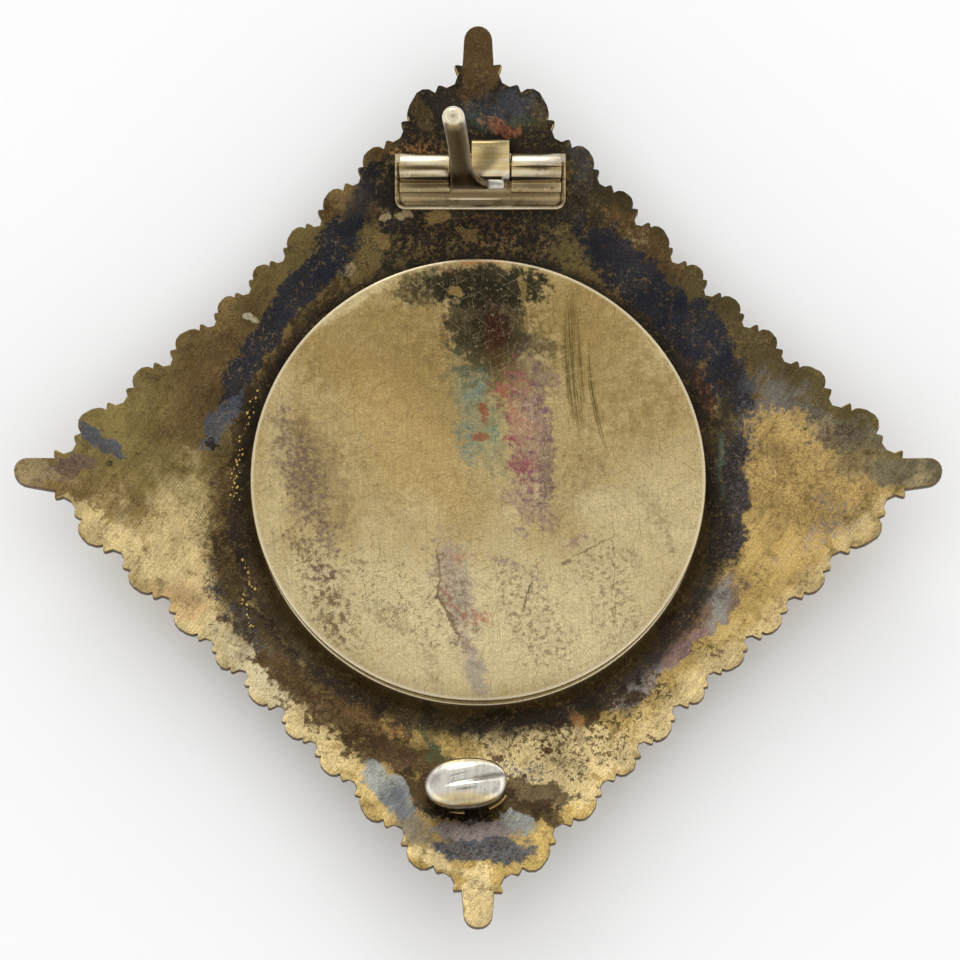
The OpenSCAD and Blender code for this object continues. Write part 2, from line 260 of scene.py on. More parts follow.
# %% Names for the tones of the silver
TONES = {
    "near black": (46, 42, 38),
    "umber": (62, 49, 34),
    "brown": (96, 75, 48),
    "rust": (104, 62, 44),
    "olive": (108, 94, 58),
    "olive dark": (84, 73, 48),
    "bronze": (136, 112, 70),
    "tan": (168, 148, 110),
    "gold": (190, 162, 98),
    "pale gold": (212, 190, 138),
    "orange": (184, 130, 80),
    "orange red": (150, 92, 66),
    "blue black": (44, 46, 53),
    "slate": (84, 88, 96),
    "grey": (120, 115, 106),
    "mauve grey": (148, 138, 136),
    "mauve": (142, 114, 112),
    "teal": (84, 104, 94),
    "green": (74, 84, 60),
    "silver": (206, 202, 190),
    "cream": (226, 214, 184),
    "champagne": (184, 162, 112),
    "champagne pale": (216, 198, 152),
    "champagne dim": (156, 131, 78),
    "cloud": (44, 42, 31),
    "red brown": (92, 62, 48),
    "rose": (168, 104, 90),
    "magenta": (138, 88, 96),
    "crimson": (156, 78, 84),
    "sea green": (112, 136, 116),
    "strokes": (100, 84, 44),
    "moss gold": (134, 119, 72),
    "warm gold": (190, 160, 100),
    "silver gold": (198, 188, 156),
    "violet": (122, 92, 108),
    "violet brown": (116, 94, 86),
    "mauve brown": (146, 118, 92),
    "dark red": (66, 32, 26),
    "sea blue": (116, 136, 122),
    "blob grey": (152, 154, 146),
    "grey olive": (116, 108, 86),
    "steel": (158, 156, 150),
    "mottle": (108, 88, 64),
}


def tone(name):
    """The tone as Blender's linear colour."""
    return [*(((c / 255 + 0.055) / 1.055) ** 2.4 for c in TONES[name]), 1]


print(len(TONES), "tones")

# %% Helpers that lay a finish in layers
SOFT_EDGE = 0.5
FIRM_EDGE = 0.16
THROUGH = 1e6


class Finish:
    """A metal whose colour is laid on in layers."""

    def __init__(self, name, first_tone, spot=None, turn=0, dimensions="2D"):
        self.material = bpy.data.materials.new(name)
        self.material.use_nodes = True
        self.w = Wiring(self.material.node_tree)
        self.shader = self.material.node_tree.nodes["Principled BSDF"]
        self.shader.inputs["Metallic"].default_value = 1
        self.dimensions = dimensions
        where = self.w.put("ShaderNodeTexCoord").outputs["Object"]
        in_mm = self.w.put("ShaderNodeVectorMath", {0: where, "Scale": 1 / MM}, operation="SCALE")
        self.place = in_mm.outputs[0]
        if spot:
            feeds = {"Vector": self.place, "Location": spot, "Rotation": (turn, 0, 0)}
            self.place = self.w.put("ShaderNodeMapping", feeds, vector_type="TEXTURE").outputs[0]
        self.colour = tone(first_tone)

    def noise(self, size, detail=4, rough=0.6, shift=0, stretch=None, turn=0, place=None):
        """Cloudy noise with grains of about this size in millimetres, drawn out or turned if asked."""
        place = place or self.place
        if stretch or shift:
            feeds = {"Vector": place, "Rotation": (0, 0, turn), "Location": (shift, shift, 0)}
            feeds["Scale"] = stretch or (1, 1, 1)
            place = self.w.put("ShaderNodeMapping", feeds, vector_type="TEXTURE").outputs[0]
        feeds = {"Vector": place, "Scale": 1 / size, "Detail": detail, "Roughness": rough}
        return self.w.put("ShaderNodeTexNoise", feeds, noise_dimensions=self.dimensions).outputs

    def warp(self, place, size, reach, detail=3):
        """Moves places about, so that edges wander by up to about the reach."""
        cloud = self.noise(size, detail)["Color"]
        centred = self.w.vector("SUBTRACT", cloud, (0.5, 0.5, 0.5))
        shift = self.w.vector("MULTIPLY", centred, (2 * reach, 2 * reach, 0))
        return self.w.vector("ADD", place, shift)

    def lay(self, tone_name, mask):
        """Lays a tone over what is there, where the mask says."""
        node = self.w.put("ShaderNodeMix", {"Factor": mask}, data_type="RGBA", clamp_factor=True)
        self.feed(node.inputs[6], self.colour)
        self.feed(node.inputs[7], tone(tone_name))
        self.colour = node.outputs[2]

    def shade(self, level):
        """Makes the colour darker or lighter by a factor that changes from place to place."""
        grey = self.w.put("ShaderNodeCombineColor", {0: level, 1: level, 2: level}).outputs[0]
        node = self.w.put("ShaderNodeMix", {"Factor": 1.0}, data_type="RGBA", blend_type="MULTIPLY")
        self.feed(node.inputs[6], self.colour)
        self.feed(node.inputs[7], grey)
        self.colour = node.outputs[2]

    def feed(self, socket, value):
        if isinstance(value, bpy.types.NodeSocket):
            self.w.tree.links.new(value, socket)
        else:
            socket.default_value = value

    def oval(self, place, middle, size, turn=0):
        """How far out a place lies: 1 at the edge of an oval that goes right through the metal."""
        feeds = {"Vector": place, "Location": (*middle, 0), "Rotation": (0, 0, turn)}
        feeds["Scale"] = (*size, THROUGH)
        local = self.w.put("ShaderNodeMapping", feeds, vector_type="TEXTURE").outputs[0]
        return self.w.vector("LENGTH", local)

    def stain(self, row, place, grain, patterns):
        """One stain. The row is explained at its chart."""
        x0, y0, x1, y1, width, tone_name, strength, ragged, *kind = row
        edge = SOFT_EDGE if "soft" in kind else FIRM_EDGE
        middle = ((x0 + x1) / 2, (y0 + y1) / 2)
        size = ((hypot(x1 - x0, y1 - y0) + width) / 2, width / 2)
        far = self.oval(place, middle, size, atan2(y1 - y0, x1 - x0))
        reach = self.w.sum("MULTIPLY_ADD", grain, ragged, far)
        mask = self.w.ease(reach, 1 + edge, 1 - edge, 0, strength)
        for pattern in kind:
            if pattern in patterns:
                mask = self.w.sum("MULTIPLY", mask, patterns[pattern])
        self.lay(tone_name, mask)

    def done(self, roughness, bump, bump_height):
        self.feed(self.shader.inputs["Base Color"], self.colour)
        self.feed(self.shader.inputs["Roughness"], roughness)
        feeds = {"Height": bump, "Distance": bump_height * MM, "Strength": 1.0}
        self.feed(self.shader.inputs["Normal"], self.w.put("ShaderNodeBump", feeds).outputs[0])
        return self.material


# %% [markdown]
# ## The finish of the star
# The hollow back is olive gold in the open, nearly black round the hinge, and blue-black along two arcs
# beside the plate where the flux of the solder ran. The chart below places these stains: each row runs
# from one point to another with a width, in millimetres, and gives the tone, how strongly it covers and
# how ragged its edge is. Its last words may say that the edge is soft, or that the stain is broken
# into spots, dots or thin scribbled lines.

# %% Chart of the stains on the star
STAR_STAINS = [
    # the upper left flank and the left arm
    (-33, 9, -14, 26, 9, "olive", 0.75, 2.5, "soft"),
    (-31, 10.5, -22, 18, 3.6, "bronze", 0.6, 3, "soft"),
    (-38, 3.5, -27, 6, 7, "moss gold", 0.75, 2.5, "soft"),
    (-28.4, 3, -24.6, -5, 5.6, "moss gold", 0.6, 2.5, "soft"),
    (-23, 12.5, -27, 5, 5.6, "brown", 0.8, 2.6, "soft"),
    (-24, 9, -26.6, 5.6, 2.6, "umber", 0.6, 3, "spots"),
    (-20.4, 16.2, -23, 12, 2.8, "brown", 0.6, 3, "soft"),
    (-21.4, 15.8, -20.6, 15.2, 0.7, "silver gold", 0.9, 0.6),
    (-36, 4.5, -33.4, 2.7, 1.7, "slate", 0.9, 2),
    (-36, 4.4, -33.6, 2.6, 1.4, "blue black", 0.6, 3, "spots"),
    (-38.7, 0, -36, 1.3, 1.9, "violet brown", 0.75, 2.2),
    (-38.4, 0.2, -36.4, 1.0, 1.3, "near black", 0.5, 3, "spots"),
    (-33.6, 1.2, -33.3, 1.1, 0.6, "near black", 0.8, 1),
    (-42, 0, -39.6, 0, 3.0, "tan", 0.8, 1),
    (-37.4, -1.2, -30, -2.4, 3.0, "brown", 0.6, 3, "soft"),
    (-33, -0.4, -30.6, -3, 1.4, "umber", 0.6, 3, "scribble"),
    (-33, -3.8, -29, -5.4, 2.4, "brown", 0.6, 3, "spots"),
    (-34.5, -2.8, -32.5, -3.4, 1.4, "rust", 0.35, 3, "spots"),
    (-36, -3.6, -30, -8.4, 3.2, "pale gold", 0.8, 2.4),
    # the lower left flank
    (-29, -9, -14, -25, 9, "pale gold", 0.95, 1.6, "soft"),
    (-27, -2.5, -27, -9, 6, "pale gold", 0.65, 2.5, "soft"),
    (-22.4, -14.6, -18, -19.8, 3.4, "silver gold", 0.6, 2, "soft"),
    (-29, -10.6, -25.4, -11.6, 2.6, "orange", 0.35, 3, "soft"),
    (-22.8, 2, -22.8, -8, 2.8, "umber", 0.85, 2.6, "soft"),
    (-24.4, -3, -22.6, -13, 3.0, "umber", 0.7, 3, "spots"),
    (-23, -6, -21.5, -13, 3.0, "umber", 0.85, 2.8, "soft"),
    (-23.4, 3, -22.8, -7, 2.4, "bronze", 0.6, 3, "scribble"),
    (-21.4, -7, -20.4, -13, 0.9, "tan", 0.6, 2.5, "spots"),
    (-21.5, -12, -17, -17.6, 3.4, "umber", 0.9, 2.4),
    (-23.4, -10, -17.6, -18.4, 1.6, "slate", 0.5, 3, "spots"),
    (-17, -18, -9, -23.4, 5, "brown", 0.9, 2.4),
    (-16, -19, -8, -24, 5, "umber", 0.8, 3, "spots"),
    (-13, -20.4, -6, -21.8, 1.8, "rust", 0.5, 3, "spots"),
    # the top, round the hinge
    (0, 36, 0, 24, 19, "near black", 0.97, 2),
    (-11, 27, 11, 27, 8, "near black", 0.95, 2),
    (10, 28, 15, 21, 6.4, "near black", 0.9, 2.2),
    (0, 42, 0, 37.6, 4.4, "brown", 0.85, 1.6),
    (-5.9, 35, -4.8, 33.4, 1.9, "olive dark", 0.9, 1.4),
    (5.3, 35.2, 5.9, 33.8, 1.4, "olive dark", 0.85, 1.4),
    (0.5, 34.9, 4.4, 35.1, 2.6, "slate", 0.5, 2, "soft"),
    (9, 31, 9.6, 28, 2.0, "slate", 0.4, 3, "soft"),
    (-7.4, 31.2, -3, 31.2, 2.6, "brown", 0.85, 3, "spots"),
    (-7, 31, -5, 30.6, 1.6, "orange", 0.5, 3, "spots"),
    (0.6, 33.7, 1.8, 33.3, 1.1, "orange", 0.6, 3, "spots"),
    (1.6, 33.2, 3.4, 32.6, 1.3, "orange red", 0.7, 3, "spots"),
    (1.2, 33.4, 3.2, 32.7, 1.2, "orange red", 0.35, 2, "soft"),
    (3.4, 33.8, 4.8, 33.6, 1.1, "green", 0.55, 3, "soft"),
    (-1, 33.9, 0.6, 33.2, 1.2, "teal", 0.3, 3, "soft"),
    (-9.5, 30.6, -8.4, 31.4, 1.9, "brown", 0.85, 1.6),
    (-12.8, 27.3, -10.4, 26.2, 2.6, "bronze", 0.75, 2.4),
    (-13.8, 25.6, -11.8, 24.4, 2.2, "brown", 0.8, 3),
    (-4.6, 25.1, -3.2, 25.2, 1.4, "bronze", 0.85, 1.6),
    (-8.4, 25.1, -8.1, 25.1, 1.0, "tan", 0.8, 1.2),
    (-6.8, 25.1, -6.5, 25.1, 1.1, "tan", 0.8, 1.2),
    (-9, 23.3, -8.6, 22.9, 1.2, "bronze", 0.75, 2),
    (-12.5, 20.4, -12.2, 20.4, 1.3, "tan", 0.85, 1),
    (-1.6, 23.8, -0.6, 23.6, 1.1, "bronze", 0.75, 2),
    (-4, 24.4, 4, 24.2, 2.4, "brown", 0.7, 3, "spots"),
    (-6, 22.4, 7, 21.8, 2.6, "bronze", 0.5, 3, "spots"),
    (8.1, 29.4, 8.4, 27.8, 1.5, "bronze", 0.8, 2, "spots"),
    # the blue-black arc on the left
    (-10.2, 28, -11.8, 24.4, 2.6, "blue black", 0.85, 2, "soft"),
    (-12, 24, -14, 20.4, 3.4, "blue black", 0.95, 1.8),
    (-14, 20.4, -18, 16.2, 3.0, "blue black", 0.95, 1.6),
    (-18, 16.2, -21.2, 11.4, 2.4, "blue black", 0.95, 1.6),
    (-21.2, 11.4, -22.8, 7, 2.5, "blue black", 0.9, 1.6),
    (-22.4, 7.6, -24.2, 4.5, 2.0, "slate", 0.85, 1.6),
    (-24.4, 4.0, -23.8, 3.6, 0.6, "near black", 0.9, 1),
    (-13, 18.2, -20.4, 8.8, 2.6, "umber", 0.85, 2.6),
    (-20.4, 8.8, -22, 2, 2.0, "umber", 0.85, 2.6),
    (-14, 18, -20.6, 9.4, 1.6, "bronze", 0.5, 3, "scribble"),
    # the upper right flank and the blue-black arc on the right
    (13, 25, 31, 9, 8, "olive dark", 0.85, 2.2, "soft"),
    (13.4, 24, 17, 20.4, 3.6, "brown", 0.75, 2.6),
    (13.4, 18.6, 20.4, 9, 3.6, "near black", 0.88, 2.2),
    (20.4, 9, 22, 3, 3, "near black", 0.9, 2.2),
    (18, 13.4, 21.4, 8, 1.6, "rust", 0.6, 3, "spots"),
    (13.2, 22.4, 15, 22.8, 1.6, "tan", 0.5, 3, "spots"),
    (11, 22.6, 17, 17, 4.4, "blue black", 0.9, 2),
    (17, 17, 22, 12, 4.8, "blue black", 0.92, 1.8),
    (21.6, 12.6, 24, 7.4, 4.0, "blue black", 0.92, 1.8),
    (20.2, 9.4, 21.2, 6.4, 1.1, "rust", 0.7, 2.5, "spots"),
    (26.4, 8.6, 30.6, 5.2, 3.6, "grey", 0.6, 3, "soft"),
    (26.4, 8.6, 30.6, 5.2, 3.0, "slate", 0.5, 3, "spots"),
    # the right arm
    (25.6, 3, 33, -1, 9, "warm gold", 0.9, 2),
    (24.4, -6, 31, -8, 8, "warm gold", 0.85, 2),
    (31.6, 4.2, 35.6, 3.8, 3.0, "grey olive", 0.8, 2.4),
    (31.8, 4.4, 34.8, 4.0, 1.6, "violet", 0.5, 3, "spots"),
    (31.6, 4.0, 35, 4.4, 2.2, "umber", 0.6, 3, "spots"),
    (36.6, 0.3, 42, 0, 2.8, "grey olive", 0.85, 1.4),
    (33, 1.4, 38, 0.5, 2.6, "grey olive", 0.6, 3, "soft"),
    (25, 2, 35, -3, 7.6, "brown", 0.5, 4, "spots"),
    (26, 0.8, 33.4, 0.6, 1.2, "brown", 0.6, 3, "scribble"),
    (30.4, -1.8, 32, -2.4, 1.6, "mauve grey", 0.5, 3, "spots"),
    (29.4, -6, 34, -3.8, 2.2, "mauve grey", 0.55, 4, "spots"),
    (26.4, -7.8, 27.6, -7.2, 1.8, "mauve grey", 0.55, 3, "spots"),
    (15, -27, 36, -4.4, 3.6, "pale gold", 0.7, 2, "soft"),
    (23, 6, 22.2, -11, 3.6, "near black", 0.92, 2),
    (24.6, 8.4, 24.6, 4, 2.4, "slate", 0.8, 2, "spots"),
    (24.2, 5, 23.4, -1, 2.2, "slate", 0.85, 2, "spots"),
    (23.4, -1, 22.4, -9, 2.2, "slate", 0.8, 2, "spots"),
    (24, 3, 22.6, -8, 1.8, "violet brown", 0.5, 3, "spots"),
    (24, 5, 22.4, -8, 2.4, "blue black", 0.5, 2, "soft"),
    (22.2, 4, 22, -2, 0.9, "sea blue", 0.4, 2, "soft"),
    # the lower right flank
    (13, -20, 26, -8, 6, "gold", 0.8, 2),
    (12.6, -27, 24, -15.6, 4.4, "pale gold", 0.85, 2, "soft"),
    (22.2, -10.6, 17.6, -14.2, 4.2, "violet brown", 0.85, 1.6),
    (22.4, -10, 21.4, -13, 1.8, "blob grey", 0.6, 1.8, "soft"),
    (22.6, -9, 18.4, -13.6, 2.6, "near black", 0.5, 3, "scribble"),
    (20.8, -8.6, 20.2, -10.8, 1.6, "teal", 0.55, 2, "soft"),
    (19, -12, 17.2, -13.8, 2.2, "rust", 0.4, 3, "soft"),
    (20, -14.2, 15.4, -17.4, 1.7, "mauve", 0.85, 1.4),
    (15.8, -17.4, 12.4, -20.6, 2.5, "mauve grey", 0.85, 1.5),
    (14.6, -19, 13.6, -20.8, 1.4, "slate", 0.6, 1.6, "soft"),
    (15, -17.4, 17.6, -19.6, 1.9, "umber", 0.8, 3.5, "spots"),
    (19.4, -14.8, 21.8, -15.6, 1.5, "umber", 0.75, 3.5, "spots"),
    (12, -21.8, 16, -19.6, 1.7, "umber", 0.7, 3.5, "spots"),
    # the bottom, round the catch
    (0.4, -24, 11, -25.4, 6.4, "pale gold", 0.9, 2.4),
    (2, -28, 9, -28.4, 4.6, "pale gold", 0.85, 2.4),
    (13.4, -19.6, 8, -21.6, 2.6, "umber", 0.9, 2.6),
    (-1, -22.2, 9, -21.4, 1.8, "umber", 0.85, 2.6),
    (0.4, -23, 12, -23.4, 5, "umber", 0.85, 4, "spots"),
    (2.2, -26.8, 5.6, -27.2, 2.0, "slate", 0.8, 3, "spots"),
    (2.6, -28.6, 6.8, -29.4, 2.8, "umber", 0.85, 2.6),
    (7, -25.6, 9, -27, 2.2, "umber", 0.8, 3.5, "spots"),
    (5.4, -30.2, 7.0, -31.6, 1.9, "umber", 0.85, 2.6),
    (8.6, -21.6, 9.1, -22.4, 1.2, "orange", 0.8, 1.2),
    (9.0, -22.4, 9.3, -24.2, 0.8, "tan", 0.8, 1.2),
    (6.8, -22.2, 7.1, -22.2, 0.8, "dark red", 0.85, 1),
    (6.1, -24.7, 6.4, -24.7, 0.7, "dark red", 0.85, 1),
    (1.7, -25.4, 2.0, -25.4, 0.6, "dark red", 0.8, 1),
    (-10.6, -24.4, -3, -26.4, 3.6, "umber", 0.85, 2.4),
    (-10, -24.6, -5, -26.6, 2.4, "red brown", 0.6, 3, "spots"),
    (-4.6, -21, -4.0, -24.8, 1.7, "green", 0.75, 2.2),
    (-8.6, -22.8, -7.2, -23.4, 1.3, "orange", 0.65, 3, "spots"),
    (-3.2, -23.4, -0.8, -24.6, 2.4, "gold", 0.85, 2.4),
    (-3.2, -23.4, -0.8, -24.6, 2.2, "brown", 0.5, 3, "spots"),
    # Under and in front of the catch the star is dark brown, partly tarnish and partly the catch's
    # painted shadow, with a thin near-black line of painted shade along the catch's front foot.
    (-6.4, -28.4, 4.4, -31, 4.4, "umber", 0.92, 2),
    (-5, -30.7, 1, -31.4, 1.2, "near black", 0.85, 2),
    (-4.9, -31.2, -3.6, -31.3, 0.9, "tan", 0.7, 2, "spots"),
    (-9, -27.4, -6.8, -30.4, 2.7, "blob grey", 0.95, 1),
    (-7.6, -29.4, -5.4, -33.2, 2.5, "slate", 0.7, 1.6, "soft"),
    (-3.4, -32.7, 3.2, -32.5, 2.0, "mauve grey", 0.92, 1.4),
    (3, -31.3, 4.4, -32.2, 1.9, "blob grey", 0.92, 1.2),
    (-2.8, -34.4, 3.8, -34.6, 2.4, "slate", 0.9, 1.6),
    (-2.4, -34.6, 3.6, -35.2, 2.2, "blue black", 0.7, 2.5, "spots"),
    (-5.6, -34.6, -2.8, -36.2, 1.6, "pale gold", 0.85, 2),
    (0, -37.8, 0, -42, 3.8, "pale gold", 0.9, 1.4),
    (-1.1, -37.7, 1.6, -38.2, 1.0, "brown", 0.6, 3, "spots"),
]


# %% Make the finish of the star, in four quarters
# One material holds only about seventy stains, so each quarter of the star has its own. A stain that
# crosses a border is in every quarter that it reaches, so that they meet without a seam.
QUARTERS = [("upper_left", -1, 1), ("upper_right", 1, 1), ("lower_left", -1, -1), ("lower_right", 1, -1)]
QUARTER_LAP = 3
# A dark ring round the cover plate: tarnish and painted shade where the plate meets the star, widened in
# the lower half into the plate's painted shadow.
PLATE_SHADE_AND_TARNISH_RING = 22.2
LOWER_SHADOW_WIDENING = 1.5


def rows_near(chart, side_x, side_y):
    """The stains of a chart that reach into a quarter, with some to spare for their ragged edges."""
    near = []
    for row in chart:
        x0, y0, x1, y1, width = row[:5]
        spare = width / 2 + QUARTER_LAP
        if max(side_x * x0, side_x * x1) + spare > 0 and max(side_y * y0, side_y * y1) + spare > 0:
            near.append(row)
    return near


def make_star_finish(name, rows):
    finish = Finish(name, "olive")
    w = finish.w
    cloud = finish.noise(9, 5, 0.55)["Fac"]
    patch = finish.noise(1.6, 6, 0.72, shift=31)["Fac"]
    speck = finish.noise(0.5, 4, 0.75, shift=7)["Fac"]
    dots = finish.noise(0.17, 3, 0.7, shift=45)["Fac"]
    grain = w.sum("SUBTRACT", patch, 0.5)
    scribble = w.sum("ABSOLUTE", w.sum("SUBTRACT", finish.noise(1.4, 3, 0.6, shift=61)["Fac"], 0.5))
    patterns = {"spots": w.ease(speck, 0.47, 0.57), "scribble": w.ease(scribble, 0.03, 0.005)}
    wander = finish.warp(finish.warp(finish.place, 3.2, 0.9), 0.9, 0.5)
    lower = w.ease(w.parts(wander)[1], 3, -6)
    finish.lay("gold", lower)
    finish.lay("bronze", w.ease(cloud, 0.42, 0.6, 0, 0.5))
    for row in rows:
        finish.stain(row, wander, grain, patterns)
    # Lay the ring of tarnish and painted shade round the cover plate; in the lower half it is wider, as
    # the plate's painted shadow.
    reach = w.sum("MULTIPLY_ADD", lower, LOWER_SHADOW_WIDENING, PLATE_SHADE_AND_TARNISH_RING)
    ring = w.sum("MULTIPLY_ADD", grain, 0.1, w.sum("DIVIDE", w.vector("LENGTH", finish.place), reach))
    finish.lay("near black", w.ease(ring, 1.04, 0.98, 0, 0.9))
    clusters = w.ease(finish.noise(2.8, 3, 0.6, shift=71)["Fac"], 0.4, 0.6, 0.1, 1)
    finish.lay("umber", w.ease(patch, 0.55, 0.68, 0, 0.4))
    finish.lay("umber", w.sum("MULTIPLY", clusters, w.ease(speck, 0.46, 0.38, 0, 0.45)))
    finish.lay("bronze", w.sum("MULTIPLY", clusters, w.ease(speck, 0.56, 0.64, 0, 0.5)))
    finish.lay("tan", w.sum("MULTIPLY", clusters, w.ease(dots, 0.62, 0.72, 0, 0.28)))
    brushed = finish.noise(1, 3, 0.6, 90, (0.14, 4, 1), -0.6)["Fac"]
    finish.shade(w.ease(brushed, 0.3, 0.7, 0.88, 1.12))
    smudge = finish.noise(3.4, 5, 0.6, shift=53)["Fac"]
    finish.shade(w.ease(smudge, 0.34, 0.66, 0.82, 1.18))
    finish.shade(w.ease(dots, 0.25, 0.75, 0.74, 1.26))
    rough = w.ease(speck, 0.3, 0.7, 0.3, 0.5)
    return finish.done(rough, w.sum("MULTIPLY_ADD", dots, 0.4, speck), 0.022)


def in_quarters(name, chart, make):
    """Makes one finish for each quarter, with the stains that reach into it."""
    finishes = []
    for label, side_x, side_y in QUARTERS:
        rows = rows_near(chart, side_x, side_y)
        finishes.append(make(name + "_" + label, rows))
        print(name, label, "has", len(rows), "stains")
    return finishes


star_finishes = in_quarters("star_silver", STAR_STAINS, make_star_finish)

# %% [markdown]
# ## The finish of the cover plate
# The plate is a paler champagne gold with fine scratches. Heat and fingers left a green-black cloud at
# its top, a column of red, magenta and teal in its middle, and brown mottles on its left.

